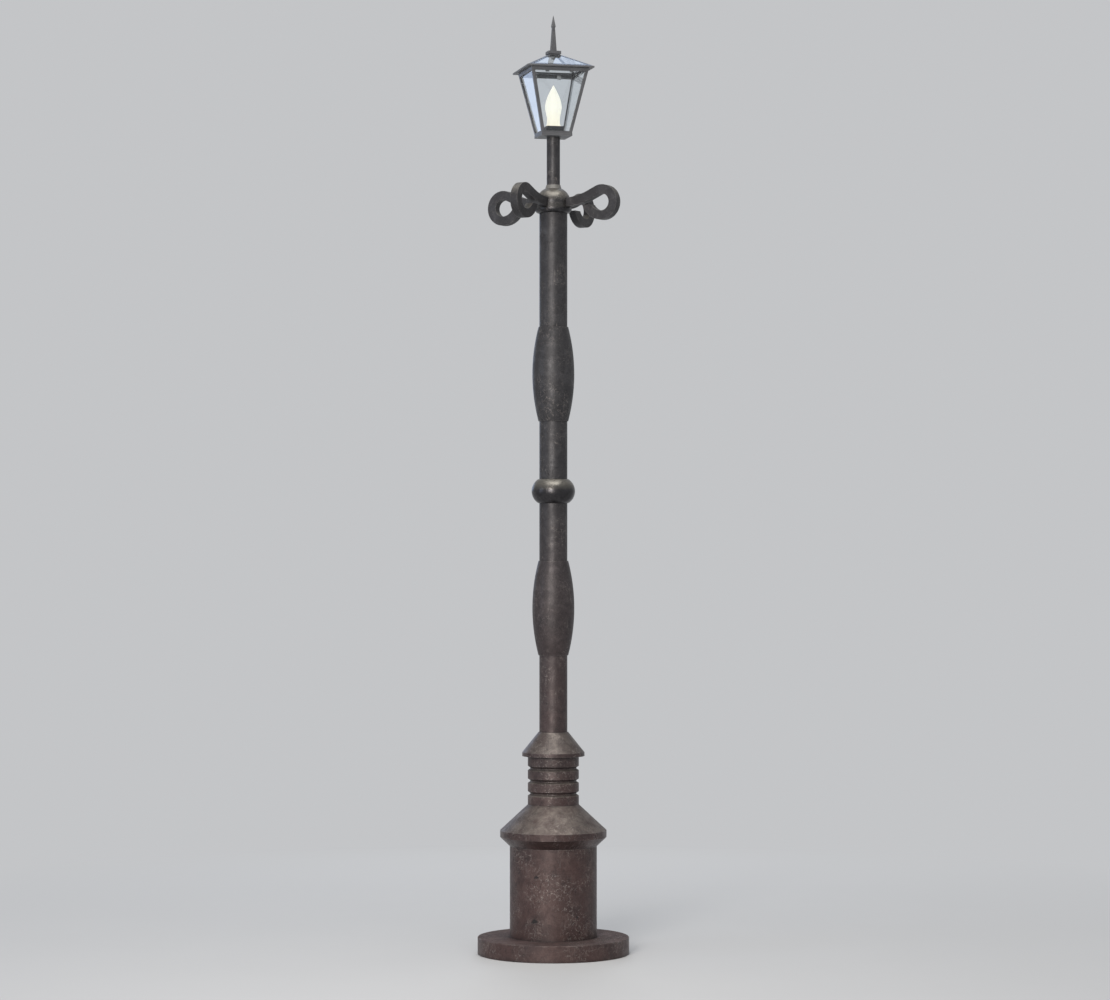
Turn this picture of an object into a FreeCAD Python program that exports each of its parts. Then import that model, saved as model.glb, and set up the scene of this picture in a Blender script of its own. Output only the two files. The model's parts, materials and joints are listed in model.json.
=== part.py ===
import FreeCAD, Part
import math
import os

V = FreeCAD.Vector

# Street light: a cast-iron post with a square glazed lantern.
# Millimetres, +Z up, origin at the centre of the base's underside, lantern faces along X and Y.

# Fits
SLIP = 0.2           # radial room of a casting slipped on a tube
PIN_RUN = 0.05       # radial room round a turning pin
THREAD_ROOM = 0.05   # radial room of a screw in its thread
BOLT_ROOM = 0.5      # radial room of a bolt in a plain hole
MOVE_GAP = 0.3       # gap between faces that move past each other
PANE_ROOM = 0.3      # gap round a pane's edges
CUT_PAST = 2.0       # how far a cutter runs past the face it opens
DIAGONAL = 45.0      # degrees from the X axis to the first diagonal

# Base disc, cored from below
BASE_R = 274.0
BASE_H = 60.0
BASE_EDGE = 2.0
BASE_TOP_WALL = 18.0
BASE_RIM = 24.0
BASE_HUB_WALL = 18.0
BASE_RIB_T = 14.0
BASE_RIBS = 8
CABLE_HOLE_R = 45.0
ANCHOR_CIRCLE_R = 85.0
ANCHOR_HOLE_R = 11.0
ANCHOR_BOSS_R = 20.0
REGISTER_H = 6.0
REGISTER_W = 10.0

# Pedestal and its inner flanges
PEDESTAL_R = 157.5
PEDESTAL_H = 328.0
PEDESTAL_WALL = 12.0
FLANGE_W = 26.0
FLANGE_T = 14.0
BOLT_R = 5.0
BOLT_ENTRY = 14.0
BOLT_FLATS = 16.0
BOLT_HEAD_H = 6.5

# Access door at the back
DOOR_W = 130.0
DOOR_H = 200.0
DOOR_UP = 64.0
DOOR_T = 6.0
DOOR_LAP = 8.0
DOOR_GAP = 2.0
DOOR_CORNER_R = 14.0
DOOR_HINGE_IN = 36.0
DOOR_HINGE_OUT = 9.0
DOOR_HINGE_STAND = 8.5
DOOR_KNUCKLE_R = 6.0
DOOR_KNUCKLE_L = 22.0
DOOR_PIN_R = 3.0
DOOR_STRAP_L = 27.0
DOOR_STRAP_T = 6.0
DOOR_WEB_T = 6.0
DOOR_WEB_SINK = 1.0

# Door lock
LOCK_IN = 26.0
LOCK_HEAD_R = 13.0
LOCK_HEAD_T = 4.0
LOCK_SPOT = 1.1
LOCK_BARREL_R = 9.0
LOCK_NUT_FLATS = 22.0
LOCK_NUT_T = 4.0
LOCK_SPINDLE_R = 5.0
LOCK_WELL_R = 7.5
LOCK_WELL_DEPTH = 3.0
LOCK_KEY_R = 4.5
CAM_REACH = 32.0
CAM_W = 14.0
CAM_T = 4.0
CAM_ROOM = 0.8

# Wiring compartment
BOARD_W = 130.0
BOARD_H = 200.0
BOARD_T = 10.0
BOARD_UP = 64.0
BOARD_BACK_Y = 75.0
BOARD_FIX_X = 45.0
BOARD_FIX_IN = 30.0
POST_W = 16.0
BOARD_SCREW_R = 3.0
BOARD_SCREW_ENTRY = 14.0
BOARD_HEAD_R = 6.0
BOARD_HEAD_H = 4.0
CUTOUT_W = 84.0
CUTOUT_H = 120.0
CUTOUT_D = 34.0
CUTOUT_EDGE = 4.0
CARRIER_W = 36.0
CARRIER_H = 74.0
CARRIER_SINK = 14.0
CARRIER_OUT = 16.0
CARRIER_GRIP_T = 14.0
GLAND_R = 11.0
GLAND_L = 16.0
GLAND_FLATS = 28.0
GLAND_NUT_T = 7.0
GLAND_BORE_R = 6.5
GLAND_X = 22.0

# Pedestal cap
CAP_UNDER_H = 33.0
CAP_BAND_R = 192.7
CAP_BAND_H = 24.0
CAP_CONE_H = 93.0
CAP_WALL = 12.0
CAP_SEAT_T = 18.0
CAP_HUB_WALL = 14.0
CAP_SOCKET = 100.0
CAP_LEDGE_W = 11.0
CAP_LEDGE_T = 12.0
CAP_GUSSET_T = 12.0

# Neck with three grooves
NECK_R = 92.5
NECK_H = 175.0
NECK_END_T = 14.0
NECK_WALL = 9.0
GROOVE_DEPTH = 9.0
GROOVE_MOUTH = 16.0
GROOVE_FLOOR = 4.0
GROOVE_FIRST = 40.0
GROOVE_PITCH = 45.8
GROOVES = 3

# Neck cap
NECK_CAP_R = 113.0
NECK_CAP_RIM_H = 13.5
NECK_CAP_CONE_H = 73.5
NECK_CAP_TOP_R = 54.0
NECK_CAP_WALL = 8.0
NECK_CAP_SEAT_W = 30.0
NECK_CAP_HUB_WALL = 11.0
NECK_CAP_HUB_L = 35.0

# Column tube and what is slipped on it
COLUMN_R = 50.8
COLUMN_WALL = 6.0
SHAFT_1 = 277.5
SHAFT_2 = 209.0
SHAFT_3 = 210.0
SHAFT_4 = 413.0
SLEEVE_H = 342.0
SLEEVE_END_R = 54.0
SLEEVE_R = 76.1
SLEEVE_WALL = 8.0
SLEEVE_HUB_L = 20.0
RING_H = 87.0
RING_END_R = 54.5
RING_R = 78.7

# Bracket collar
COLLAR_END_R = 54.5
COLLAR_LIP_R = 66.5
COLLAR_LIP_H = 14.5
COLLAR_R = 63.0
COLLAR_SIDE_H = 24.0
COLLAR_DOME_H = 51.0
COLLAR_SOCKET = 61.5
COLLAR_WEB_T = 10.0
COLLAR_CABLE_R = 18.0
FERRULE_R = 29.7
FERRULE_TOP_R = 25.8
FERRULE_H = 13.0

# Scroll brackets, in the plane of radius and height
SCROLL_W = 29.0
SCROLL_T = 32.6
SCROLL_SEAT_R = 55.0
SCROLL_ROOT_UP = 36.5
SCROLL_ROOT_BEND_R = 258.0
SCROLL_RISE_DEG = 24.0
SCROLL_STRAIGHT = 33.0
SCROLL_EYE_R = 47.0
SCROLL_TAIL_R = 66.0
SCROLL_CUT_UP = 40.0
SCROLL_ROOM = 0.2
BRACKET_BOLT_R = 4.0
BRACKET_BOLT_ENTRY = 20.0
BRACKET_HEAD_R = 6.5
BRACKET_HEAD_H = 8.0

# Lantern tube and the lantern's base plate
TUBE_R = 24.15
TUBE_WALL = 4.0
TUBE_SHOWN = 174.4
PLATE_HALF = 57.0
PLATE_T = 10.0
SPIGOT_L = 60.0
SPIGOT_WALL = 5.0

# Lantern frame and side panes
BODY_H = 230.0
BODY_FOOT_HALF = 56.0
BODY_TOP_HALF = 106.6
FRAME_T = 6.5
STILE_W = 11.5
BOTTOM_RAIL_H = 7.0
TOP_RAIL_H = 12.0
FRAME_LEDGE_T = 4.0
FRAME_LEDGE_HALF = 38.0
FRAME_SCREW_XY = 42.5
FRAME_SCREW_R = 2.5
FRAME_SCREW_ENTRY = 7.0
FRAME_HEAD_R = 4.5
FRAME_HEAD_H = 3.0
PANE_T = 3.0
PANE_LAP = 4.0
CLIP_W = 14.0
CLIP_T = 1.2
CLIP_TONGUE = 8.0
CLIP_X = 45.0

# Lampholder, its cover box and bulb
BOX_HALF = 31.0
BOX_H = 27.6
BOX_WALL = 2.0
HOLDER_R = 20.0
HOLDER_H = 27.9
HOLDER_BORE_R = 13.7
HOLDER_BORE_DEPTH = 24.0
BULB_CAP_L = 22.0
BULB_BASE_R = 27.5
BULB_WAIST_R = 23.3
BULB_WAIST_UP = 28.7
BULB_R = 29.75
BULB_R_UP = 67.7
BULB_H = 151.7

# Roof
EAVE_HALF = 123.0
EAVE_W = 31.0
EAVE_T = 6.0
ROOF_FOOT_HALF = 121.0
ROOF_TOP_HALF = 22.5
ROOF_RISE = 51.0
ROOF_T = 5.0
ROOF_BAR = 11.0
ROOF_TOP_T = 6.0
ROOF_PANE_T = 3.0
ROOF_PANE_SINK = 0.3
ROOF_PANE_LAP = 4.0
ROOF_CAP_NECK_HALF = 20.0
ROOF_CAP_NECK_H = 3.5
ROOF_CAP_HALF = 23.8
ROOF_CAP_H = 11.0
FINIAL_FOOT_HALF = 10.4
FINIAL_TOP_HALF = 5.2
FINIAL_SHAFT_H = 84.8
FINIAL_BEVEL_H = 6.5
POINT_HALF = 7.2
POINT_TIP_HALF = 0.4
POINT_H = 39.5
FINIAL_STUD_R = 5.0
FINIAL_NUT_FLATS = 16.0
FINIAL_NUT_T = 8.0
FINIAL_STUD_PAST = 3.0

# Roof hinges at the back
ROOF_HINGE_X = 45.0
ROOF_HINGE_IN = 9.9
ROOF_HINGE_DROP = 6.0
ROOF_KNUCKLE_R = 5.0
ROOF_PIN_R = 2.5
BODY_KNUCKLE_L = 20.0
ROOF_KNUCKLE_L = 10.0
HINGE_WEB_T = 8.0

# Set screws at the back
SET_SCREW_R = 4.0
SET_SCREW_SINK = 0.5
SET_SCREW_UP = 10.0

# Heights, stacked from the ground
Z_CAP = BASE_H + PEDESTAL_H
Z_BAND = Z_CAP + CAP_UNDER_H
Z_CONE = Z_BAND + CAP_BAND_H
Z_NECK = Z_CONE + CAP_CONE_H
Z_NECK_CAP = Z_NECK + NECK_H
Z_SHAFT = Z_NECK_CAP + NECK_CAP_RIM_H + NECK_CAP_CONE_H
Z_LOWER = Z_SHAFT + SHAFT_1
Z_RING = Z_LOWER + SLEEVE_H + SHAFT_2
Z_UPPER = Z_RING + RING_H + SHAFT_3
Z_COLLAR = Z_UPPER + SLEEVE_H + SHAFT_4
Z_LIP = Z_COLLAR + COLLAR_LIP_H
Z_DOME = Z_LIP + COLLAR_SIDE_H
Z_FERRULE = Z_DOME + COLLAR_DOME_H
Z_TUBE = Z_FERRULE + FERRULE_H
Z_PLATE = Z_TUBE + TUBE_SHOWN
Z_BODY = Z_PLATE + PLATE_T
Z_BODY_TOP = Z_BODY + BODY_H
Z_HOLDER_TOP = Z_BODY + HOLDER_H
Z_EAVE = Z_BODY_TOP + MOVE_GAP
Z_ROOF = Z_EAVE + EAVE_T
Z_ROOF_TOP = Z_ROOF + ROOF_RISE
Z_ROOF_CAP = Z_ROOF_TOP + ROOF_CAP_NECK_H
Z_FINIAL = Z_ROOF_CAP + ROOF_CAP_H
Z_COLUMN = Z_NECK - CAP_SOCKET
Z_COLUMN_TOP = Z_COLLAR + COLLAR_SOCKET
Z_TUBE_FOOT = Z_COLUMN_TOP + COLLAR_WEB_T
Z_DOOR = BASE_H + DOOR_UP + DOOR_H / 2
Z_BOARD = BASE_H + BOARD_UP

# Radii and places worked out from the sizes above
COLUMN_BORE = COLUMN_R + SLIP
PEDESTAL_IN = PEDESTAL_R - PEDESTAL_WALL
FLANGE_IN = PEDESTAL_IN - FLANGE_W
BOLT_CIRCLE = PEDESTAL_IN - FLANGE_W / 2
REGISTER_R = FLANGE_IN - SLIP
DOOR_IN = PEDESTAL_R - DOOR_T
DOOR_HINGE_X = -(DOOR_W / 2 + DOOR_HINGE_OUT)
DOOR_HINGE_Y = math.sqrt((PEDESTAL_R + DOOR_HINGE_STAND) ** 2 - DOOR_HINGE_X ** 2)
DOOR_HINGE_Z = (Z_DOOR - DOOR_H / 2 + DOOR_HINGE_IN, Z_DOOR + DOOR_H / 2 - DOOR_HINGE_IN)
LOCK_DEG = -math.degrees(math.asin((DOOR_W / 2 - LOCK_IN) / PEDESTAL_R))
CAM_FACE = math.sqrt((PEDESTAL_IN - CAM_ROOM) ** 2 - CAM_REACH ** 2)
LOCK_FACE = PEDESTAL_R - LOCK_SPOT
LOCK_NUT_FACE = math.sqrt(DOOR_IN ** 2 - (LOCK_NUT_FLATS / 2) ** 2) - THREAD_ROOM
HEAD_SEAT = math.sqrt((COLUMN_R - COLUMN_WALL) ** 2 - BRACKET_HEAD_R ** 2) - THREAD_ROOM
BOARD_FACE_Y = -(BOARD_BACK_Y - BOARD_T)
CUTOUT_FACE_Y = BOARD_FACE_Y + CUTOUT_D
Z_CUTOUT = Z_BOARD + BOARD_H / 2
SCROLL_Z = Z_COLLAR + SCROLL_ROOT_UP
ROOF_HINGE_Y = EAVE_HALF - ROOF_HINGE_IN
ROOF_HINGE_Z = Z_EAVE - ROOF_HINGE_DROP
SPIGOT_R = TUBE_R - TUBE_WALL - SLIP
ROOF_SLOPE = math.atan2(ROOF_RISE, ROOF_FOOT_HALF - ROOF_TOP_HALF)
ROOF_SLOPE_L = math.hypot(ROOF_RISE, ROOF_FOOT_HALF - ROOF_TOP_HALF)
ROOF_HIP = math.atan2(ROOF_SLOPE_L, ROOF_FOOT_HALF - ROOF_TOP_HALF)


# Shape helpers

def revolved(outline):
    """Solid turned about Z from a closed outline of (radius, height) steps.

    A step of four numbers is an arc: a point on the arc, then its end.
    """
    here = V(outline[0][0], 0, outline[0][1])
    edges = []
    for step in outline[1:] + outline[:1]:
        end = V(step[-2], 0, step[-1])
        if len(step) == 4:
            edges.append(Part.Arc(here, V(step[0], 0, step[1]), end).toShape())
        else:
            edges.append(Part.LineSegment(here, end).toShape())
        here = end
    return Part.Face(Part.Wire(edges)).revolve(V(), V(0, 0, 1), 360)


def block(x0, x1, y0, y1, z0, z1):
    return Part.makeBox(x1 - x0, y1 - y0, z1 - z0, V(x0, y0, z0))


def tapered(low, high, z0, z1):
    """Flat-sided block between two level rectangles (x0, x1, y0, y1) at heights z0 and z1."""
    solid = Part.makeWedge(low[0], z0, -low[3], -high[3], high[0],
                           low[1], z1, -low[2], -high[2], high[1])
    solid.rotate(V(), V(1, 0, 0), 90)
    return solid


def square_taper(half_low, half_high, z0, z1):
    low = (-half_low, half_low, -half_low, half_low)
    high = (-half_high, half_high, -half_high, half_high)
    return tapered(low, high, z0, z1)


def rod(radius, start, end):
    return Part.makeCylinder(radius, (end - start).Length, start, end - start)


def hexagon(flats, z0, z1):
    radius = flats / 2 / math.cos(math.pi / 6)
    turns = [k * math.pi / 3 for k in range(6)]
    corners = [V(radius * math.cos(a), radius * math.sin(a), z0) for a in turns]
    return Part.Face(Part.makePolygon(corners + corners[:1])).extrude(V(0, 0, z1 - z0))


def turned(solid, degrees):
    copy = solid.copy()
    copy.rotate(V(), V(0, 0, 1), degrees)
    return copy


def moved(solid, x, y, z):
    copy = solid.copy()
    copy.translate(V(x, y, z))
    return copy


def laid_back(solid):
    """Copy of an upright piece laid along +Y, its top to the back."""
    copy = solid.copy()
    copy.rotate(V(), V(1, 0, 0), -90)
    return copy


def four(solid, first_deg=0):
    return [turned(solid, first_deg + 90 * quarter) for quarter in range(4)]


def joined(solid, others):
    return solid.fuse(others).removeSplitter()


def rounded_slab(width, height, corner_r, y0, y1, z_mid):
    """Slab along Y with a rounded rectangle for its section."""
    slab = block(-width / 2, width / 2, y0, y1, z_mid - height / 2, z_mid + height / 2)
    long_edges = [e for e in slab.Edges if abs(e.Vertexes[0].Y - e.Vertexes[1].Y) > (y1 - y0) / 2]
    return slab.makeFillet(corner_r, long_edges)


def bulge_radius(end_r, mid_r, height, up):
    """Radius of a barrel's round outline, up from its lower end."""
    sag = mid_r - end_r
    arc_r = ((height / 2) ** 2 + sag ** 2) / (2 * sag)
    return mid_r - arc_r + math.sqrt(arc_r ** 2 - (up - height / 2) ** 2)


def body_half(z):
    return BODY_FOOT_HALF + (BODY_TOP_HALF - BODY_FOOT_HALF) * (z - Z_BODY) / BODY_H


def roof_half(z):
    return ROOF_FOOT_HALF - (ROOF_FOOT_HALF - ROOF_TOP_HALF) * (z - Z_ROOF) / ROOF_RISE


def face_panel(half, z0, z1, side_inset, outer, inner):
    """Panel on the front of a tapered square body, between two depths behind its face."""
    ends = []
    for z in (z0, z1):
        side = half(z) - side_inset
        ends.append((-side, side, outer - half(z), inner - half(z)))
    return tapered(ends[0], ends[1], z0, z1)


# Base and pedestal

def flange_bolt_places():
    quarters = [k * math.pi / 2 for k in range(4)]
    return [(BOLT_CIRCLE * math.cos(a), BOLT_CIRCLE * math.sin(a)) for a in quarters]


def base_plate():
    core_top = BASE_H - BASE_TOP_WALL
    hub_r = CABLE_HOLE_R + BASE_HUB_WALL
    rim_in = BASE_R - BASE_RIM
    register_in = REGISTER_R - REGISTER_W
    plate = revolved([
        (CABLE_HOLE_R, 0), (hub_r, 0), (hub_r, core_top), (rim_in, core_top), (rim_in, 0), (BASE_R, 0),
        (BASE_R, BASE_H - BASE_EDGE), (BASE_R - BASE_EDGE, BASE_H), (REGISTER_R, BASE_H),
        (REGISTER_R, BASE_H + REGISTER_H), (register_in, BASE_H + REGISTER_H), (register_in, BASE_H),
        (CABLE_HOLE_R, BASE_H)])
    rib = block(hub_r - BASE_HUB_WALL / 2, rim_in + BASE_RIM / 2,
                -BASE_RIB_T / 2, BASE_RIB_T / 2, 0, core_top)
    ribs = [turned(rib, 360 / BASE_RIBS * k) for k in range(BASE_RIBS)]
    boss = Part.makeCylinder(ANCHOR_BOSS_R, core_top, V(ANCHOR_CIRCLE_R, 0, 0))
    hole = Part.makeCylinder(ANCHOR_HOLE_R, BASE_H + 2 * CUT_PAST, V(ANCHOR_CIRCLE_R, 0, -CUT_PAST))
    thread_depth = BOLT_ENTRY + CUT_PAST
    thread = Part.makeCylinder(BOLT_R + THREAD_ROOM, thread_depth, V(0, 0, BASE_H - thread_depth))
    threads = [moved(thread, x, y, 0) for x, y in flange_bolt_places()]
    return joined(plate, ribs + four(boss, DIAGONAL)).cut(four(hole, DIAGONAL) + threads)


def door_layer(width, height, corner_r, inner_r, outer_r):
    """Curved plate in the pedestal's wall, between two radii."""
    slab = rounded_slab(width, height, corner_r, 0, PEDESTAL_R + CUT_PAST, Z_DOOR)
    low = Z_DOOR - DOOR_H
    tube = Part.makeCylinder(outer_r, 2 * DOOR_H, V(0, 0, low))
    return slab.common(tube.cut(Part.makeCylinder(inner_r, 2 * DOOR_H, V(0, 0, low))))


def board_fixings():
    return [(x, z) for x in (-BOARD_FIX_X, BOARD_FIX_X)
            for z in (Z_BOARD + BOARD_FIX_IN, Z_BOARD + BOARD_H - BOARD_FIX_IN)]


def board_post(x, z):
    """Cast post that reaches from the front wall back to the board."""
    wall_y = math.sqrt(PEDESTAL_R ** 2 - (BOARD_FIX_X + POST_W / 2) ** 2) - PEDESTAL_WALL / 2
    post = block(x - POST_W / 2, x + POST_W / 2, -wall_y, -BOARD_BACK_Y, z - POST_W / 2, z + POST_W / 2)
    thread_start = V(x, -BOARD_BACK_Y, z)
    thread_end = V(x, -BOARD_BACK_Y - BOARD_SCREW_ENTRY - CUT_PAST, z)
    return post.cut(rod(BOARD_SCREW_R + THREAD_ROOM, thread_start, thread_end))


def pedestal_knuckle(z):
    """Lower half of a door hinge, on a short radial web."""
    foot = V(DOOR_HINGE_X, DOOR_HINGE_Y, z - DOOR_KNUCKLE_L)
    barrel = Part.makeCylinder(DOOR_KNUCKLE_R, DOOR_KNUCKLE_L, foot)
    web = block(PEDESTAL_R - DOOR_WEB_SINK, PEDESTAL_R + DOOR_HINGE_STAND,
                -DOOR_WEB_T / 2, DOOR_WEB_T / 2, z - DOOR_KNUCKLE_L, z)
    web = turned(web, math.degrees(math.atan2(DOOR_HINGE_Y, DOOR_HINGE_X)))
    return joined(barrel, [web]).cut(Part.makeCylinder(DOOR_PIN_R, DOOR_KNUCKLE_L, foot))


def pedestal():
    shell = revolved([
        (FLANGE_IN, BASE_H), (PEDESTAL_R, BASE_H), (PEDESTAL_R, Z_CAP), (FLANGE_IN, Z_CAP),
        (FLANGE_IN, Z_CAP - FLANGE_T), (PEDESTAL_IN, Z_CAP - FLANGE_T),
        (PEDESTAL_IN, BASE_H + FLANGE_T), (FLANGE_IN, BASE_H + FLANGE_T)])
    seat = door_layer(DOOR_W, DOOR_H, DOOR_CORNER_R, DOOR_IN - MOVE_GAP, PEDESTAL_R + CUT_PAST)
    doorway = rounded_slab(DOOR_W - 2 * DOOR_LAP, DOOR_H - 2 * DOOR_LAP, DOOR_CORNER_R,
                           0, PEDESTAL_R, Z_DOOR)
    bolt_hole = Part.makeCylinder(BOLT_R + BOLT_ROOM, PEDESTAL_H + 2 * CUT_PAST, V(0, 0, BASE_H - CUT_PAST))
    bolt_holes = [moved(bolt_hole, x, y, 0) for x, y in flange_bolt_places()]
    knuckles = [pedestal_knuckle(z) for z in DOOR_HINGE_Z]
    posts = [board_post(x, z) for x, z in board_fixings()]
    return joined(shell.cut([seat, doorway] + bolt_holes), knuckles + posts)


def flange_bolts():
    """Eight bolts: four down into the base and four up into the cap."""
    shank = FLANGE_T + BOLT_ENTRY
    bolt = joined(Part.makeCylinder(BOLT_R, shank, V(0, 0, -BOLT_ENTRY)),
                  [hexagon(BOLT_FLATS, FLANGE_T, FLANGE_T + BOLT_HEAD_H)])
    upward = bolt.copy()
    upward.rotate(V(), V(1, 0, 0), 180)
    bolts = [moved(bolt, x, y, BASE_H) for x, y in flange_bolt_places()]
    return Part.makeCompound(bolts + [moved(upward, x, y, Z_CAP) for x, y in flange_bolt_places()])


# Access door and lock

def access_door():
    plate = door_layer(DOOR_W - 2 * DOOR_GAP, DOOR_H - 2 * DOOR_GAP, DOOR_CORNER_R - DOOR_GAP,
                       DOOR_IN, PEDESTAL_R)
    hinge_parts = []
    pins = []
    for z in DOOR_HINGE_Z:
        low = z + MOVE_GAP
        high = z + DOOR_KNUCKLE_L
        foot = V(DOOR_HINGE_X, DOOR_HINGE_Y, low)
        hinge_parts.append(Part.makeCylinder(DOOR_KNUCKLE_R, high - low, foot))
        hinge_parts.append(block(DOOR_HINGE_X, DOOR_HINGE_X + DOOR_STRAP_L, DOOR_HINGE_Y - DOOR_STRAP_T / 2,
                                 DOOR_HINGE_Y + DOOR_STRAP_T / 2, low, high))
        pins.append(Part.makeCylinder(DOOR_PIN_R + PIN_RUN, high - low, foot))
    lock_hole = rod(LOCK_BARREL_R + SLIP, V(0, DOOR_IN - CUT_PAST, Z_DOOR), V(0, PEDESTAL_R, Z_DOOR))
    spot_face = rod(LOCK_HEAD_R + SLIP, V(0, LOCK_FACE, Z_DOOR), V(0, PEDESTAL_R + CUT_PAST, Z_DOOR))
    return joined(plate, hinge_parts).cut(pins + [turned(lock_hole, LOCK_DEG), turned(spot_face, LOCK_DEG)])


def door_hinge_pins():
    return Part.makeCompound([
        Part.makeCylinder(DOOR_PIN_R, 2 * DOOR_KNUCKLE_L, V(DOOR_HINGE_X, DOOR_HINGE_Y, z - DOOR_KNUCKLE_L))
        for z in DOOR_HINGE_Z])


def set_in_door(piece):
    """Copy of an upright lock piece laid through the door, its top outward."""
    return turned(moved(laid_back(piece), 0, 0, Z_DOOR), LOCK_DEG)


def lock_barrel():
    """Lock body: a round head outside and a barrel through the door."""
    head_top = LOCK_FACE + LOCK_HEAD_T
    foot = CAM_FACE + MOVE_GAP
    body = joined(Part.makeCylinder(LOCK_BARREL_R, LOCK_FACE - foot, V(0, 0, foot)),
                  [Part.makeCylinder(LOCK_HEAD_R, LOCK_HEAD_T, V(0, 0, LOCK_FACE))])
    bore = Part.makeCylinder(LOCK_SPINDLE_R + PIN_RUN, head_top, V())
    well = Part.makeCylinder(LOCK_WELL_R, LOCK_WELL_DEPTH, V(0, 0, head_top - LOCK_WELL_DEPTH))
    return set_in_door(body.cut([bore, well]))


def lock_nut():
    half = LOCK_NUT_FLATS / 2
    low = LOCK_NUT_FACE - LOCK_NUT_T
    nut = block(-half, half, -half, half, low, LOCK_NUT_FACE)
    return set_in_door(nut.cut(Part.makeCylinder(LOCK_BARREL_R + THREAD_ROOM, LOCK_NUT_T, V(0, 0, low))))


def lock_cam():
    """Turning spindle with a three-sided key end and a cam, stored unlocked with the cam hanging down."""
    well_floor = LOCK_FACE + LOCK_HEAD_T - LOCK_WELL_DEPTH
    thirds = [k * 2 * math.pi / 3 for k in range(3)]
    corners = [V(LOCK_KEY_R * math.sin(a), -LOCK_KEY_R * math.cos(a), well_floor) for a in thirds]
    key = Part.Face(Part.makePolygon(corners + corners[:1])).extrude(V(0, 0, LOCK_WELL_DEPTH))
    cam_foot = CAM_FACE - CAM_T
    spindle = Part.makeCylinder(LOCK_SPINDLE_R, well_floor - cam_foot, V(0, 0, cam_foot))
    boss = Part.makeCylinder(CAM_W / 2, CAM_T, V(0, 0, cam_foot))
    blade = block(-CAM_W / 2, CAM_W / 2, 0, CAM_REACH, cam_foot, CAM_FACE)
    return set_in_door(joined(spindle, [key, boss, blade]))


# Wiring compartment

def gear_board():
    board = block(-BOARD_W / 2, BOARD_W / 2, -BOARD_BACK_Y, BOARD_FACE_Y, Z_BOARD, Z_BOARD + BOARD_H)
    return board.cut([rod(BOARD_SCREW_R + BOLT_ROOM, V(x, -BOARD_BACK_Y, z), V(x, BOARD_FACE_Y, z))
                      for x, z in board_fixings()])


def board_screws():
    depth = BOARD_T + BOARD_SCREW_ENTRY
    shank = Part.makeCylinder(BOARD_SCREW_R, depth, V(0, 0, -depth))
    screw = laid_back(joined(shank, [Part.makeCylinder(BOARD_HEAD_R, BOARD_HEAD_H)]))
    return Part.makeCompound([moved(screw, x, BOARD_FACE_Y, z) for x, z in board_fixings()])


def carrier_pocket(room):
    return block(-CARRIER_W / 2 - room, CARRIER_W / 2 + room, CUTOUT_FACE_Y - CARRIER_SINK, CUTOUT_FACE_Y,
                 Z_CUTOUT - CARRIER_H / 2 - room, Z_CUTOUT + CARRIER_H / 2 + room)


def gland_holes(radius, length):
    z = Z_CUTOUT - CUTOUT_H / 2
    y = BOARD_FACE_Y + CUTOUT_D / 2
    return [Part.makeCylinder(radius, length, V(x, y, z)) for x in (-GLAND_X, GLAND_X)]


def cutout_base():
    box = block(-CUTOUT_W / 2, CUTOUT_W / 2, BOARD_FACE_Y, CUTOUT_FACE_Y,
                Z_CUTOUT - CUTOUT_H / 2, Z_CUTOUT + CUTOUT_H / 2)
    front_edges = [e for e in box.Edges if min(v.Y for v in e.Vertexes) > CUTOUT_FACE_Y - CUTOUT_EDGE]
    box = box.makeChamfer(CUTOUT_EDGE, front_edges)
    return box.cut([carrier_pocket(SLIP)] + gland_holes(GLAND_BORE_R, GLAND_L))


def fuse_carrier():
    grip = block(-CARRIER_GRIP_T / 2, CARRIER_GRIP_T / 2, CUTOUT_FACE_Y, CUTOUT_FACE_Y + CARRIER_OUT,
                 Z_CUTOUT - CARRIER_H / 2, Z_CUTOUT + CARRIER_H / 2)
    return joined(carrier_pocket(0), [grip])


def cable_glands():
    glands = []
    low = Z_CUTOUT - CUTOUT_H / 2 - GLAND_L
    y = BOARD_FACE_Y + CUTOUT_D / 2
    for x in (-GLAND_X, GLAND_X):
        nut = hexagon(GLAND_FLATS, GLAND_L - GLAND_NUT_T, GLAND_L)
        body = joined(Part.makeCylinder(GLAND_R, GLAND_L), [nut])
        glands.append(moved(body.cut(Part.makeCylinder(GLAND_BORE_R, GLAND_L)), x, y, low))
    return Part.makeCompound(glands)


# Castings of the lower post

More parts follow.
